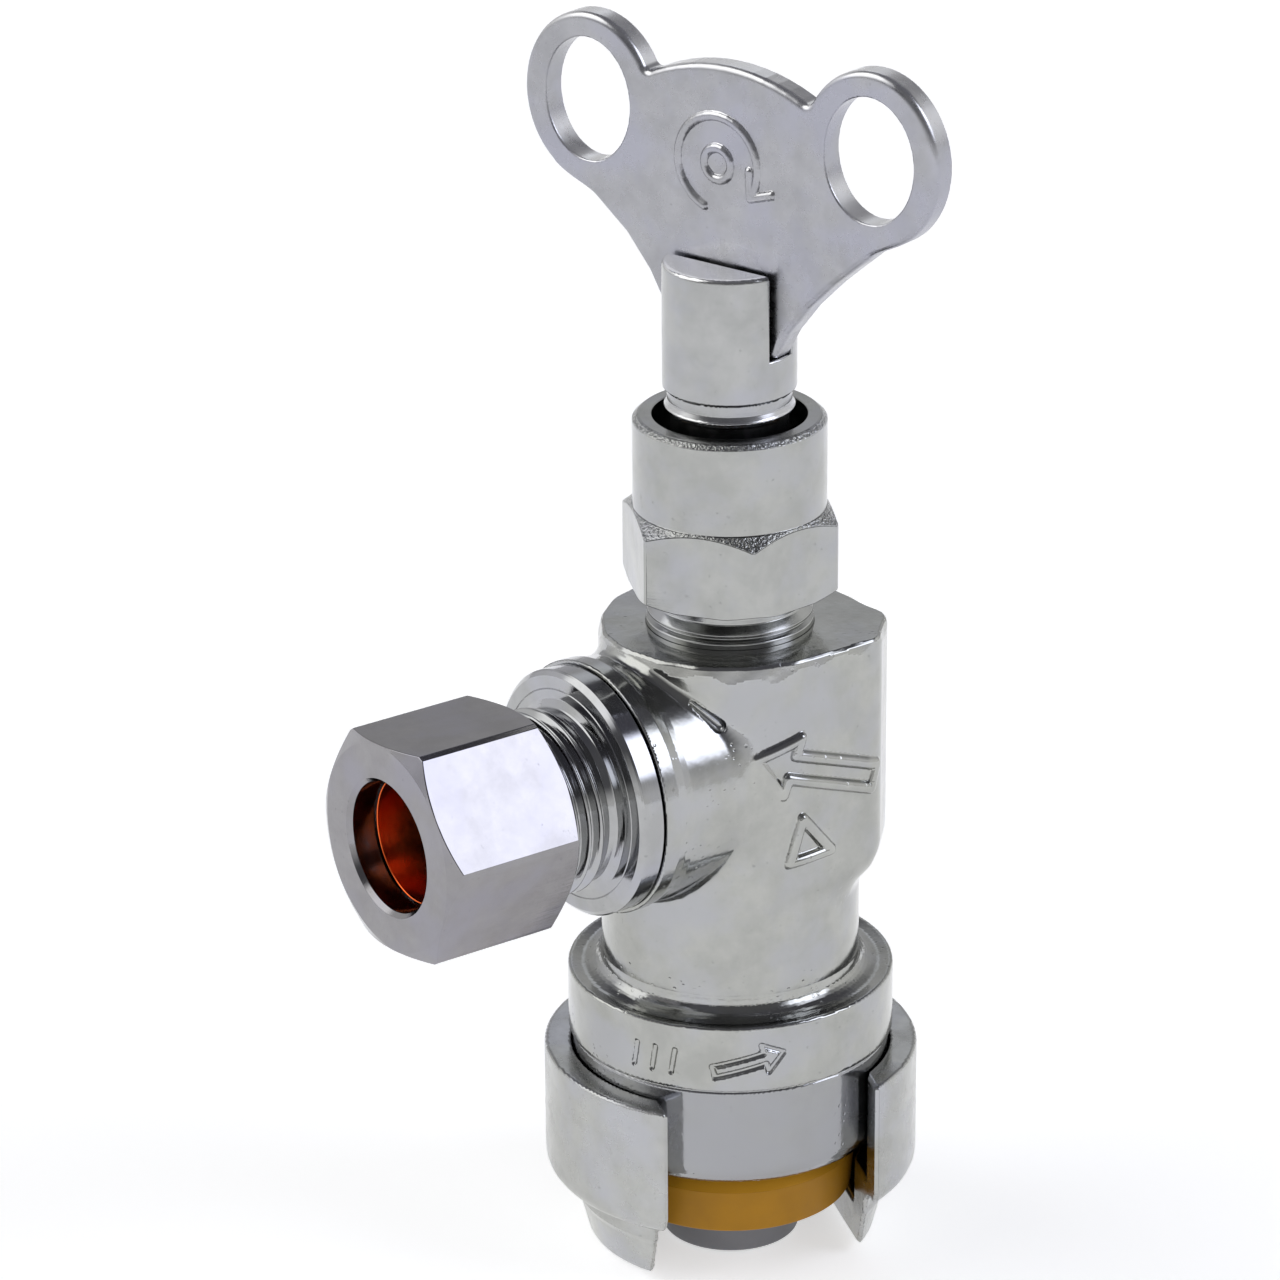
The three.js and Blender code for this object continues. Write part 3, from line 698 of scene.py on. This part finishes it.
def make_shank():
    """A round shank with a square socket below, a bead, and a slot above for the plate."""
    foot, top = heights("key_shank")
    foot_r, socket_top, bead, shoulder = 4.4, 58.0, 59.25, 60.85
    outline = [
        (0, foot),
        *arc(foot_r - 0.3, foot + 0.3, 0.3, -90, 0, 3),
        (foot_r, bead - 0.55),
        (SHANK_R - 0.3, bead - 0.3),
        *arc(SHANK_R - 0.27, bead, 0.15, -60, 60, 3),
        (SHANK_R - 0.36, bead + 0.5),
        (SHANK_R - 0.3, shoulder - 0.25),
        *arc(SHANK_R - 0.12, shoulder, 0.12, -70, 0, 2),
        *arc(SHANK_R - 0.35, top - 0.35, 0.35, 0, 90, 4),
        (0, top),
    ]
    half = STEM_SQUARE / 2 + 0.15

    def field(x, y, z):
        shank = to_outline(outline, np.hypot(x, y), z)
        socket = np.maximum(np.maximum(np.abs(x), np.abs(y)) - half, z - socket_top)
        gap = np.maximum(np.maximum(SLOT["front"] - y, y - SLOT["back"]), SLOT["floor"] - z)
        return carve(carve(shank, socket, 0.1), gap, 0.12)

    low, high = [-SHANK_R, -SHANK_R, foot], [SHANK_R, SHANK_R, top]
    return sculpt("key_shank_turned", field, low, high, 0.13, KEY)


def plate_outline():
    """One side of the key plate from its foot to its top, then the other side back down."""
    foot = SLOT["floor"] + 0.05
    waist = [(4.7, foot), (5.4, 66.0), (6.8, 68.4), (8.9, 70.9), (11.8, 73.2), (15.2, 75.3), (16.0, 77.5)]
    wider = [(4.7, foot), (5.9, 66.0), (7.7, 68.3), (10.0, 70.6), (12.8, 73.0), (15.5, 75.3), (16.0, 77.5)]
    dome_z = PLATE_HIGH[2] - 1.85 - PLATE["dome_r"]
    dome = arc(PLATE["shift"], dome_z, PLATE["dome_r"], 58, 122, 16)
    left = [(-x, z) for x, z in reversed(waist)]
    return [*wider, *dome, *left]


STAMP_AT = (-0.3, 77.9)
TURN_ARC = arc(*STAMP_AT, 3.6, -35, 250, 28)
TURN_TIP = TURN_ARC[0]
TURN_BARBS = arc(*TURN_TIP, 2.0, 17, 93, 1)
TURN_MARK = [TURN_ARC, [TURN_BARBS[0], TURN_TIP, TURN_BARBS[1]], arc(*STAMP_AT, 1.2, 0, 360, 20)]


def make_plate():
    outline = plate_outline()

    def oval(x, z, side, half_x, half_z):
        u, v = x - PLATE["shift"] - side * RING["x"], z - RING["z"]
        size = np.hypot(u / half_x, v / half_z)
        slope_size = np.hypot(u / half_x**2, v / half_z**2)
        return size * (size - 1) / np.maximum(slope_size, 1e-3)

    def field(x, y, z):
        flat = to_outline(outline, x, z)
        for side in (-1, 1):
            flat = merge(flat, oval(x, z, side, *RING["outer"]), 0.6)
        plate = common(common(flat, -y - PLATE["half"], 0.55), y - PLATE["half"], 0.15)
        for side in (-1, 1):
            plate = carve(plate, oval(x, z, side, *RING["hole"]), 0.14)
        stamp = np.hypot(to_strokes(TURN_MARK, x, z), y + PLATE["half"] - 0.06) - 0.36
        return merge(plate, stamp, 0.06)

    reach = RING["x"] + RING["outer"][0] + 0.45
    low = [PLATE["shift"] - reach, -PLATE["half"], PLATE_LOW[2]]
    high = [PLATE["shift"] + reach, PLATE["half"], PLATE_HIGH[2] + 2.3]
    return sculpt("key_plate_pressed", field, low, high, 0.15, KEY)


# ---- inlet ----

CUP = {"r": 14.4, "top": 7.2, "step": -2.55, "bottom": -8.66, "bore": 12.32, "slot": 8.15}


def make_collar():
    foot, top = heights("release_collar")
    outer, lower, bore, shoulder, bevel_width = COLLAR_HIGH[0], 9.35, 8.1, -1.54, 0.97
    barb_r, barb_z = 9.25, 5.5
    corners = [
        (bore + 0.5, foot, 0.1),
        (lower, foot, 0.2),
        (outer, shoulder, 0.08),
        (outer - bevel_width, shoulder + bevel_width, 0.1),
        (outer - bevel_width, barb_z - 0.2, 0.05),
        (barb_r, barb_z, 0.05),
        (barb_r, barb_z + 0.4, 0.05),
        (8.6, top, 0.05),
        (bore, top, 0.1),
        (bore, foot + 0.5, 0.1),
    ]
    return revolve("release_collar_moulded", corners)


def make_liner():
    foot, top = heights("pipe_liner")
    outer, bore = 5.3, 4.6
    flare, flare_thick = SOCKET_R - 0.25, 0.9
    tube = [(bore, foot, 0.15), (outer, foot, 0.3), (outer, top - flare_thick, 0.2)]
    rim = [(flare, top - flare_thick, 0.1), (flare, top, 0.1), (bore, top, 0.3)]
    return revolve("pipe_liner_moulded", tube + rim, round_angles(128))


def make_clip():
    step = CUP["step"]
    hole_r, floor_r, ledge, under = 7.0, 10.1, -1.9, COLLAR_LOW[2] - 0.25
    outline = [
        (hole_r, CUP["bottom"]),
        (11.05, CUP["bottom"]),
        (11.2, CUP["bottom"] + 0.3),
        (11.9, step - 3.1),
        *arc(13.9, step - 2.2, 1.75, 192, 106, 6),
        *arc(CUP["r"] - 1.4, step + 0.55, 1.4, -78, 0, 5),
        *arc(CUP["r"] - 0.3, CUP["top"] - 0.3, 0.3, 0, 90, 3),
        (CUP["bore"] + 0.15, CUP["top"]),
        (CUP["bore"], CUP["top"] - 0.15),
        (CUP["bore"], ledge),
        (floor_r, ledge),
        (floor_r, under),
        (hole_r, under),
    ]

    def field(x, y, z):
        cup = to_outline(outline, np.hypot(x, y), z)
        slot = np.where(y < 0, np.abs(x), np.hypot(x, y)) - CUP["slot"]
        return bevel(cup, -slot, 0.3)

    low, high = [-CUP["r"], -CUP["r"], CUP["bottom"]], [CUP["r"], CUP["r"], CUP["top"]]
    return sculpt("release_clip_slotted", field, low, high, 0.19, CLIP)


# ---- inner pieces ----

CARTRIDGE_R = 10.25


def make_ring(name, inner, outer, bottom, top, fillet=0.08):
    corners = [(inner, bottom), (outer, bottom), (outer, top), (inner, top)]
    return revolve(name, [(*corner, fillet) for corner in corners], round_angles(128))


def make_seal(name, centre_r, centre_z, section_r, place=UPRIGHT):
    section = [(section_r * math.cos(t), section_r * math.sin(t)) for t in round_angles(24)]
    corners = [(centre_r + u, centre_z + v) for u, v in section]
    return revolve(name, corners, round_angles(128), None, place)


def make_stem():
    """Open below for the jumper's pin, then a thread, a journal and the key's square."""
    angles = KEY_TURN + round_angles(240)
    past = (angles - KEY_TURN) % (math.pi / 2)
    square = np.minimum(STEM_SQUARE / 2 / np.maximum(np.cos(past), np.sin(past)), 2.5)
    crest, foot_r, pin_bore = STEM_BORE["r"] - 0.1, 3.3, 1.8
    foot, pin_top, journal_top, top = 29.6, 33.6, 51.5, 57.4
    thread_from, thread_to = 35.0, 40.6
    corners = [
        (0, pin_top),
        (pin_bore, pin_top, 0.1),
        (pin_bore, foot, 0.1),
        (foot_r, foot, 0.15),
        (foot_r, thread_from - 0.4, 0.05),
        (crest, thread_from),
        *thread_rows(crest, thread_from + 0.1, thread_to - 0.05, STEM_PITCH),
        (crest, thread_to),
        (JOURNAL_R, thread_to + 0.4, 0.1),
        (JOURNAL_R, journal_top, 0.05),
        (square, journal_top, 0.05),
        (square, top, 0.15),
        (0, top),
    ]
    cut = thread_cut(crest, STEM_PITCH, STEM_THREAD, thread_from - 0.7, thread_to + 0.7, 0.4)
    return revolve("stem_turned", corners, angles, cut)


def make_jumper():
    """A plate with a stud below for the washer, and a guide pin above."""
    stud_r, plate_r, pin_r = 1.2, 4.7, 1.5
    foot, under, over, top = 24.3, 27.8, 29.1, 33.1
    stud = [(0, foot), (stud_r, foot, 0.15), (stud_r, under, 0.1)]
    plate = [(plate_r, under, 0.15), (plate_r, over, 0.15)]
    corners = [*stud, *plate, (pin_r, over, 0.15), (pin_r, top, 0.2), (0, top)]
    return revolve("jumper_turned", corners, round_angles(128))


def make_washer_nut():
    turn = math.radians(30)
    angles = hexagon_angles(turn, 12)
    bore, flats, bevel_r, foot, top = 1.35, 5.0, 2.6, 24.6, 25.8
    side = hexagon(angles, turn, flats, 0.12)
    face_r = np.minimum(side, bevel_r) - 0.02
    drop = np.maximum(side - bevel_r, 0.02) * math.tan(math.radians(30))
    below = [(bore, foot, 0.08), (face_r, foot, 0.04), (side, foot + drop, 0.04)]
    above = [(side, top - drop, 0.04), (face_r, top, 0.04), (bore, top, 0.08)]
    return revolve("washer_nut_hex", [*below, *above], angles)


def make_seat_washer():
    return make_ring("seat_washer_moulded", 1.4, 4.8, 26.0, 27.6, 0.15)


def make_packing_washer():
    return make_ring("packing_washer_cut", 2.9, PACKING_BOX["r"] - 0.15, 48.6, 49.4)


def make_gland_ring():
    return make_ring("gland_ring_turned", 2.8, PACKING_BOX["r"] - 0.15, 49.5, 50.8, 0.1)


def make_retaining_ring():
    """A spring ring with a gap, so that it can be squeezed into its groove."""
    low, high = span("retaining_ring")
    level, half = (low[2] + high[2]) / 2, (high[2] - low[2]) / 2
    middle_r, half_width, half_gap = 5.35, 0.65, 1.1

    def field(x, y, z):
        band = common(np.abs(np.hypot(x, y) - middle_r) - half_width, np.abs(z - level) - half, 0.12)
        return carve(band, np.maximum(np.abs(x) - half_gap, -y), 0.3)

    return sculpt("retaining_ring_sprung", field, low, high, step=0.11)


def make_grab_ring():
    """A thin ring whose inner edge leans up the socket and is cut into teeth."""
    low, high = span("grab_ring")
    rim, bend, tip = CARTRIDGE_R, 8.9, TUBE_R - 0.25
    outline = [(rim, 7.9), (rim, 8.25), (bend, 8.25), (tip, 9.25), (tip, 8.9), (bend, 7.9)]
    sector = 2 * math.pi / 16
    root = 8.55

    def field(x, y, z):
        radius = np.hypot(x, y)
        turn = (np.arctan2(y, x) + sector / 2) % sector - sector / 2
        side, ahead = radius * np.sin(turn), radius * np.cos(turn)
        notch = np.where(ahead > root, np.hypot(side, ahead - root), np.abs(side)) - 0.45
        return carve(to_outline(outline, radius, z), notch, 0.05)

    return sculpt("grab_ring_toothed", field, low, high, step=0.12)


def make_cartridge_ring():
    """A stepped ring: it backs the grab ring at its top, and the collar slides through its foot."""
    bore, step_r, foot, step, top = MOUTH_R + 0.03, 9.6, 2.3, 5.1, 7.6
    outside = [(bore, foot, 0.15), (CARTRIDGE_R, foot, 0.15), (CARTRIDGE_R, top, 0.1)]
    inside = [(step_r, top, 0.1), (step_r, step, 0.1), (bore, step, 0.1)]
    return revolve("cartridge_ring_moulded", outside + inside)


def make_grab_ring_support():
    """A ring whose underside follows the lean of the grab ring's teeth."""
    bore, foot_bore, foot, top = 8.3, 9.1, 8.55, 10.0
    outside = [(CARTRIDGE_R, foot, 0.1), (CARTRIDGE_R, top, 0.1)]
    inside = [(bore, top, 0.06), (bore, top - 0.25, 0.06), (foot_bore, foot, 0.1)]
    return revolve("grab_ring_support_moulded", outside + inside)


# ---- materials ----


def new_material(name):
    material = bpy.data.materials.new(name)
    material.use_nodes = True
    tree = material.node_tree
    shader = tree.nodes["Principled BSDF"]
    place = tree.nodes.new("ShaderNodeTexCoord")
    return material, tree, shader, place.outputs["Object"]


def wired(tree, node, inputs, output):
    """Fills a node's inputs, each with a plain value or with another node's output."""
    for socket, value in inputs.items():
        if isinstance(value, bpy.types.NodeSocket):
            tree.links.new(value, node.inputs[socket])
        else:
            node.inputs[socket].default_value = value
    return node.outputs[output]


def maths(tree, operation, *values):
    node = tree.nodes.new("ShaderNodeMath")
    node.operation = operation
    return wired(tree, node, dict(enumerate(values)), "Value")


def vector_maths(tree, operation, output, *vectors):
    node = tree.nodes.new("ShaderNodeVectorMath")
    node.operation = operation
    return wired(tree, node, dict(enumerate(vectors)), output)


def height_of(tree, vector):
    return wired(tree, tree.nodes.new("ShaderNodeSeparateXYZ"), {0: vector}, "Z")


def noise(tree, vector, scale, detail=3.0, roughness=0.5):
    inputs = {"Vector": vector, "Scale": scale, "Detail": detail, "Roughness": roughness}
    return wired(tree, tree.nodes.new("ShaderNodeTexNoise"), inputs, "Fac")


def ramp(tree, value, low, high, from_min, from_max, curve="LINEAR"):
    """Maps a value from one range to another, held at the ends."""
    node = tree.nodes.new("ShaderNodeMapRange")
    node.interpolation_type = curve
    inputs = {"Value": value, "From Min": from_min, "From Max": from_max, "To Min": low, "To Max": high}
    return wired(tree, node, inputs, "Result")


def mixed(tree, share, first, second):
    """Mixes two colours. Each of them is a plain colour or comes from another node."""
    node = tree.nodes.new("ShaderNodeMix")
    node.data_type = "RGBA"
    first, second = [(*c, 1) if isinstance(c, tuple) else c for c in (first, second)]
    return wired(tree, node, {"Factor": share, "A": first, "B": second}, "Result")


def paint_light_above(tree, place, colour, pale):
    """Painted light: mixes a paler second colour in on the faces that look up, as if lit from above."""
    facing = height_of(tree, place.node.outputs["Normal"])
    return mixed(tree, ramp(tree, facing, 0, 1, 0.3, 0.9), colour, pale)


def bump(tree, bumps):
    """Chains bumps of (height, strength, depth in metres) into one normal."""
    below = {}
    for height, strength, depth in bumps:
        inputs = {"Strength": strength, "Distance": depth, "Height": height, **below}
        below = {"Normal": wired(tree, tree.nodes.new("ShaderNodeBump"), inputs, "Normal")}
    return below["Normal"]


def pits(tree, vector, scale, size):
    """Small scattered dents: 0 in a pit and 1 elsewhere."""
    node = tree.nodes.new("ShaderNodeTexVoronoi")
    distance = wired(tree, node, {"Vector": vector, "Scale": scale}, "Distance")
    near = ramp(tree, distance, 0, 1, size * 0.4, size)
    patch = ramp(tree, noise(tree, vector, scale * 0.17, 2), 1, 0, 0.5, 0.62)
    return maths(tree, "MAXIMUM", near, patch)


def set_surface(tree, shader, metal, colour, rough, bumps):
    inputs = {"Metallic": metal, "Base Color": colour, "Roughness": rough, "Normal": bump(tree, bumps)}
    wired(tree, shader, inputs, "BSDF")


def chrome(name, light, rough, grain=1.0, lines=None, pitted=0.0, rough_bands=(), zone=None, painted_light_up=None):
    """Chrome plate. lines is the axis along which fine tool marks follow each other, if there are any.
    rough_bands are coarsely cut edges: a radius at the upper height, two heights, and how much the
    radius grows for each metre down. zone is a height, a second colour, and the shares of that colour
    below and above the height, for painted shade. Heights and radii are in metres. painted_light_up is a
    paler colour painted as light on the faces that look up."""
    material, tree, shader, place = new_material(name)
    dark = tuple(value * 0.86 for value in light)
    cool = (light[0] * 0.95, light[1] * 0.955, light[2] * 1.05)
    cloud = mixed(tree, ramp(tree, noise(tree, place, 330, 5, 0.65), 0, 1, 0.36, 0.64), dark, light)
    tinted = mixed(tree, ramp(tree, noise(tree, place, 150, 3, 0.6), 0, 0.8, 0.45, 0.62), cloud, cool)
    specks = ramp(tree, noise(tree, place, 1900, 2, 0.5), 0, 0.45, 0.7, 0.78)
    colour = mixed(tree, specks, tinted, tuple(value * 0.55 for value in light))
    # Painted shade: a zone mixes a second, darker colour in below or above a height.
    if zone:
        level, second, below, above = zone
        share = ramp(tree, height_of(tree, place), below, above, level, level + 0.00004)
        colour = mixed(tree, share, colour, second)
    # Painted light: faces that look up are mixed towards the painted_light_up colour.
    if painted_light_up:
        colour = paint_light_above(tree, place, colour, painted_light_up)
    smear = ramp(tree, noise(tree, place, 420, 5, 0.65), rough * 0.7, rough * 1.6, 0.3, 0.7)
    fine = noise(tree, place, 2600, 3, 0.6)
    soft = noise(tree, place, 330, 3, 0.55)
    bumps = [(soft, 0.35 * grain, 0.0001), (fine, 0.12 * grain, 0.00002)]
    if lines:
        stretch = {"x": (1, 0.02, 0.02), "y": (0.02, 1, 0.02), "z": (0.02, 0.02, 1)}[lines]
        marks = noise(tree, vector_maths(tree, "MULTIPLY", "Vector", place, stretch), 7000, 3, 0.6)
        bumps.append((marks, 0.4, 0.000012))
    if pitted:
        bumps.append((pits(tree, place, 1500, 0.22), pitted, 0.00006))
    for radius, low, high, lean in rough_bands:
        coarse = noise(tree, place, 4200, 2, 0.5)
        bumps.append((band_of(tree, place, coarse, radius, low, high, lean), 0.7, 0.00022))
    set_surface(tree, shader, 1.0, colour, smear, bumps)
    return material


def band_of(tree, place, height, radius, low, high, lean):
    """A height that is kept outside a cone round Z and between two levels, and is flat elsewhere."""
    flat = vector_maths(tree, "MULTIPLY", "Vector", place, (1, 1, 0))
    across, up = vector_maths(tree, "LENGTH", "Value", flat), height_of(tree, place)
    cone = maths(tree, "MULTIPLY_ADD", up, lean, across)
    edge, soft = radius + high * lean, 0.00005
    outside = ramp(tree, cone, 0, 1, edge - soft, edge + soft)
    above = ramp(tree, up, 0, 1, low - soft, low + soft)
    below = ramp(tree, up, 1, 0, high - soft, high + soft)
    for mask in (outside, above, below):
        height = maths(tree, "MULTIPLY", height, mask)
    return height


def plain(name, light, dark, rough, scale=300, metal=0.0, painted_light_up=None):
    """Moulded plastic, rubber or bare brass with a mottled colour and a fine surface."""
    material, tree, shader, place = new_material(name)
    share = ramp(tree, noise(tree, place, scale, 4), 0, 1, 0.35, 0.65)
    colour = mixed(tree, share, dark, light)
    # Painted light: faces that look up are mixed towards the painted_light_up colour.
    if painted_light_up:
        colour = paint_light_above(tree, place, colour, painted_light_up)
    rub = ramp(tree, noise(tree, place, scale * 2, 4, 0.6), rough * 0.8, rough * 1.25, 0.3, 0.7)
    set_surface(tree, shader, metal, colour, rub, [(noise(tree, place, 3000, 3), 0.3, 0.00003)])
    return material


# Painted shade: below 8.3 mm, under the flange, the body's chrome colour is mixed 65% of the way to a
# darker grey.
SKIRT_PAINTED_SHADE = (0.0083, (0.31, 0.313, 0.33), 0.65, 0)
cast_chrome = chrome("cast_chrome", (0.43, 0.434, 0.412), 0.12, 1.2, None, 0.35, zone=SKIRT_PAINTED_SHADE)
turned_chrome_y = chrome("turned_chrome_outlet", (0.43, 0.434, 0.434), 0.08, 0.4, "y")
SLEEVE_TOP = heights("lockshield_bonnet")[1] * MM
ROUGH_EDGES = ((0.00705, 0.0495, 0.0514, 1.48), (0.00684, SLEEVE_TOP - 0.0004, SLEEVE_TOP + 0.001, 0))
turned_chrome_z = chrome("turned_chrome_stem", (0.425, 0.43, 0.415), 0.15, 0.6, "z", 0, ROUGH_EDGES)
nut_chrome = chrome("nut_chrome", (0.31, 0.302, 0.31), 0.12, 0.3, "x")
# The key's plate and shank have painted light: their faces that look up are mixed towards white.
satin_chrome = chrome("satin_chrome", (0.405, 0.407, 0.428), 0.24, 1.1, painted_light_up=(1.0, 1.0, 1.0))
shank_chrome = chrome("shank_chrome", (0.425, 0.43, 0.425), 0.17, 0.6, "z", painted_light_up=(1.0, 1.0, 1.0))
clip_chrome = chrome("clip_chrome", (0.47, 0.474, 0.456), 0.21, 1.1)
raw_brass = plain("raw_brass", (0.85, 0.52, 0.22), (0.72, 0.4, 0.15), 0.22, 300, 1.0)
hot_brass = plain("ferrule_brass", (0.95, 0.19, 0.045), (0.85, 0.14, 0.03), 0.2, 300, 1.0)
spring_steel = plain("spring_steel", (0.45, 0.46, 0.47), (0.36, 0.37, 0.38), 0.25, 400, 1.0)
black_rubber = plain("black_rubber", (0.03, 0.03, 0.031), (0.018, 0.018, 0.018), 0.6)
white_plastic = plain("white_plastic", (0.75, 0.74, 0.7), (0.68, 0.67, 0.62), 0.45)
# The collar has painted light: its faces that look up, such as its bevel, are mixed towards a paler ochre.
ochre, dark_ochre, painted_lit_ochre = (0.36, 0.17, 0.008), (0.31, 0.145, 0.006), (0.59, 0.29, 0.02)
ochre_plastic = plain("ochre_plastic", ochre, dark_ochre, 0.45, painted_light_up=painted_lit_ochre)
ochre_plastic.node_tree.nodes["Principled BSDF"].inputs["Specular IOR Level"].default_value = 0.2
grey_plastic = plain("grey_plastic", (0.17, 0.172, 0.185), (0.14, 0.142, 0.155), 0.45)


# ---- assembly ----


def fit(piece, body, material, node):
    """Puts a finished piece on a body in the place of a CAD node."""
    piece.data.materials.append(material)
    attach(piece, body)
    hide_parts(node)


PIECES = (
    (make_body, "valve", "chrome", cast_chrome, "valve_body"),
    (make_nipple, "valve", "chrome", turned_chrome_y, "outlet_nipple"),
    (make_nut, "nut", "chrome", nut_chrome, "compression_nut"),
    (make_ferrule, "ferrule", "brass", hot_brass, "ferrule"),
    (make_bonnet, "valve", "chrome", turned_chrome_z, "lockshield_bonnet"),
    (make_shank, "key", "satin_chrome", shank_chrome, "key_shank"),
    (make_plate, "key", "satin_chrome", satin_chrome, "key_plate"),
    (make_collar, "collar", "ochre_plastic", ochre_plastic, "release_collar"),
    (make_liner, "valve", "grey_plastic", grey_plastic, "pipe_liner"),
    (make_clip, "clip", "chrome", clip_chrome, "release_clip"),
    (make_stem, "stem", "brass", raw_brass, "stem"),
    (make_jumper, "jumper", "brass", raw_brass, "jumper"),
    (make_washer_nut, "jumper", "brass", raw_brass, "washer_nut"),
    (make_seat_washer, "jumper", "rubber", black_rubber, "seat_washer"),
    (make_packing_washer, "valve", "white_plastic", white_plastic, "packing_washer"),
    (make_gland_ring, "valve", "brass", raw_brass, "gland_ring"),
    (make_retaining_ring, "valve", "stainless", spring_steel, "retaining_ring"),
    (make_cartridge_ring, "valve", "white_plastic", white_plastic, "cartridge_ring"),
    (make_grab_ring, "valve", "stainless", spring_steel, "grab_ring"),
    (make_grab_ring_support, "valve", "white_plastic", white_plastic, "grab_ring_support"),
)
for make, body, slot, material, node in PIECES:
    fit(make(), body, material, node)

# Each seal's middle radius, middle height, the radius of its section, and its place.
SEALS = (
    ("nipple_o_ring", 6.12, 10.35, 0.5, OUTLET),
    ("bonnet_o_ring", 5.82, 37.8, 0.5, UPRIGHT),
    ("stem_o_ring", 3.79, 47.4, 1.06, UPRIGHT),
    ("inlet_o_ring", 9.17, 11.3, 1.05, UPRIGHT),
)
for node, *section, place in SEALS:
    fit(make_seal(node + "_moulded", *section, place), "valve", black_rubber, node)


# ---- studio ----


def make_floor():
    """A pale floor that glows a little, so that it stays nearly white beside the part's shade."""
    half, gap = 3.0, 0.0004
    mesh = bpy.data.meshes.new("floor")
    level = cad_box[0].z - gap
    corners = [(-half, -half, level), (half, -half, level), (half, half, level), (-half, half, level)]
    mesh.from_pydata(corners, [], [(0, 1, 2, 3)])
    material = plain("pale_floor", (0.9, 0.9, 0.9), (0.88, 0.88, 0.88), 0.9, 3)
    shader = material.node_tree.nodes["Principled BSDF"]
    shader.inputs["Emission Color"].default_value = (1, 1, 1, 1)
    shader.inputs["Emission Strength"].default_value = 0.53
    mesh.materials.append(material)
    add_object("floor", mesh)


CAMERA_AT = (314.46, -233.94, 203.7)
CAMERA = {"heading": 54.341, "down": 22.635, "roll": -0.452, "view": 12.926}


def make_camera():
    data = bpy.data.cameras.new("camera")
    data.angle = math.radians(CAMERA["view"])
    data.clip_start, data.clip_end = 0.01, 20
    camera = add_object("camera", data)
    turn = Matrix.Rotation(math.radians(CAMERA["heading"]), 4, "Z")
    tilt = Matrix.Rotation(math.radians(90 - CAMERA["down"]), 4, "X")
    roll = Matrix.Rotation(math.radians(CAMERA["roll"]), 4, "Z")
    camera.matrix_world = Matrix.Translation(Vector(CAMERA_AT) * MM) @ turn @ tilt @ roll
    bpy.context.scene.camera = camera


def away(across, up):
    """A direction by its angle to the right of the camera's heading and its angle above the floor."""
    turn = math.radians(CAMERA["heading"] + 90 - across)
    rise = math.radians(up)
    return Vector((math.cos(turn) * math.cos(rise), math.sin(turn) * math.cos(rise), math.sin(rise)))


def make_fill_light():
    """A soft light from the camera's side that the chrome doesn't mirror."""
    data = bpy.data.lights.new("front_fill", "AREA")
    data.shape = "RECTANGLE"
    data.size, data.size_y = 0.7, 0.5
    data.energy = 1.5
    light = add_object("front_fill", data)
    part_middle = Vector((0, 0, 0.035))
    light.location = part_middle + away(178, 24)
    light.rotation_euler = (part_middle - light.location).to_track_quat("-Z", "Y").to_euler()
    light.visible_glossy = False


# Each is a direction, the angles from its middle where it starts and stops fading, and its colour.
SOFTBOXES = (
    ((104, 35), 10, 21, (3.0, 3.1, 3.5)),
    ((-90, 42), 18, 32, (1.75, 1.75, 1.75)),
    ((0, 31.5), 1.0, 12.0, (0.75, 0.77, 0.82)),
)


def make_world():
    """A pale horizon that falls off to a dark ceiling, and to a dark room on the camera's side."""
    world = bpy.data.worlds.new("studio")
    world.use_nodes = True
    tree = world.node_tree
    direction = tree.nodes.new("ShaderNodeTexCoord").outputs["Generated"]

    def along(axis):
        return vector_maths(tree, "DOT_PRODUCT", "Value", direction, axis)

    at_sides = ramp(tree, maths(tree, "ABSOLUTE", along(away(90, 0))), 0, 1, 0.45, 0.85)
    horizon = mixed(tree, at_sides, (0.5, 0.5, 0.51), (0.9, 0.9, 0.9))
    rise = along((0, 0, 1))
    far_side = mixed(tree, ramp(tree, rise, 0, 1, 0.38, 0.68), horizon, (0.1, 0.1, 0.115))
    near_side = mixed(tree, ramp(tree, rise, 0, 1, 0.08, 0.38), (0.8, 0.8, 0.8), (0.13, 0.13, 0.14))
    room = mixed(tree, ramp(tree, along(away(180, 0)), 0, 1, 0.0, 0.5), far_side, near_side)
    for box_middle, inner, outer, glow in SOFTBOXES:
        edges = math.cos(math.radians(outer)), math.cos(math.radians(inner))
        share = ramp(tree, along(away(*box_middle)), 0, 1, *edges, "SMOOTHSTEP")
        room = mixed(tree, share, room, glow)
    tree.links.new(room, tree.nodes["Background"].inputs["Color"])
    bpy.context.scene.world = world


make_floor()
make_camera()
make_world()
make_fill_light()
bpy.context.scene.view_settings.view_transform = "Standard"
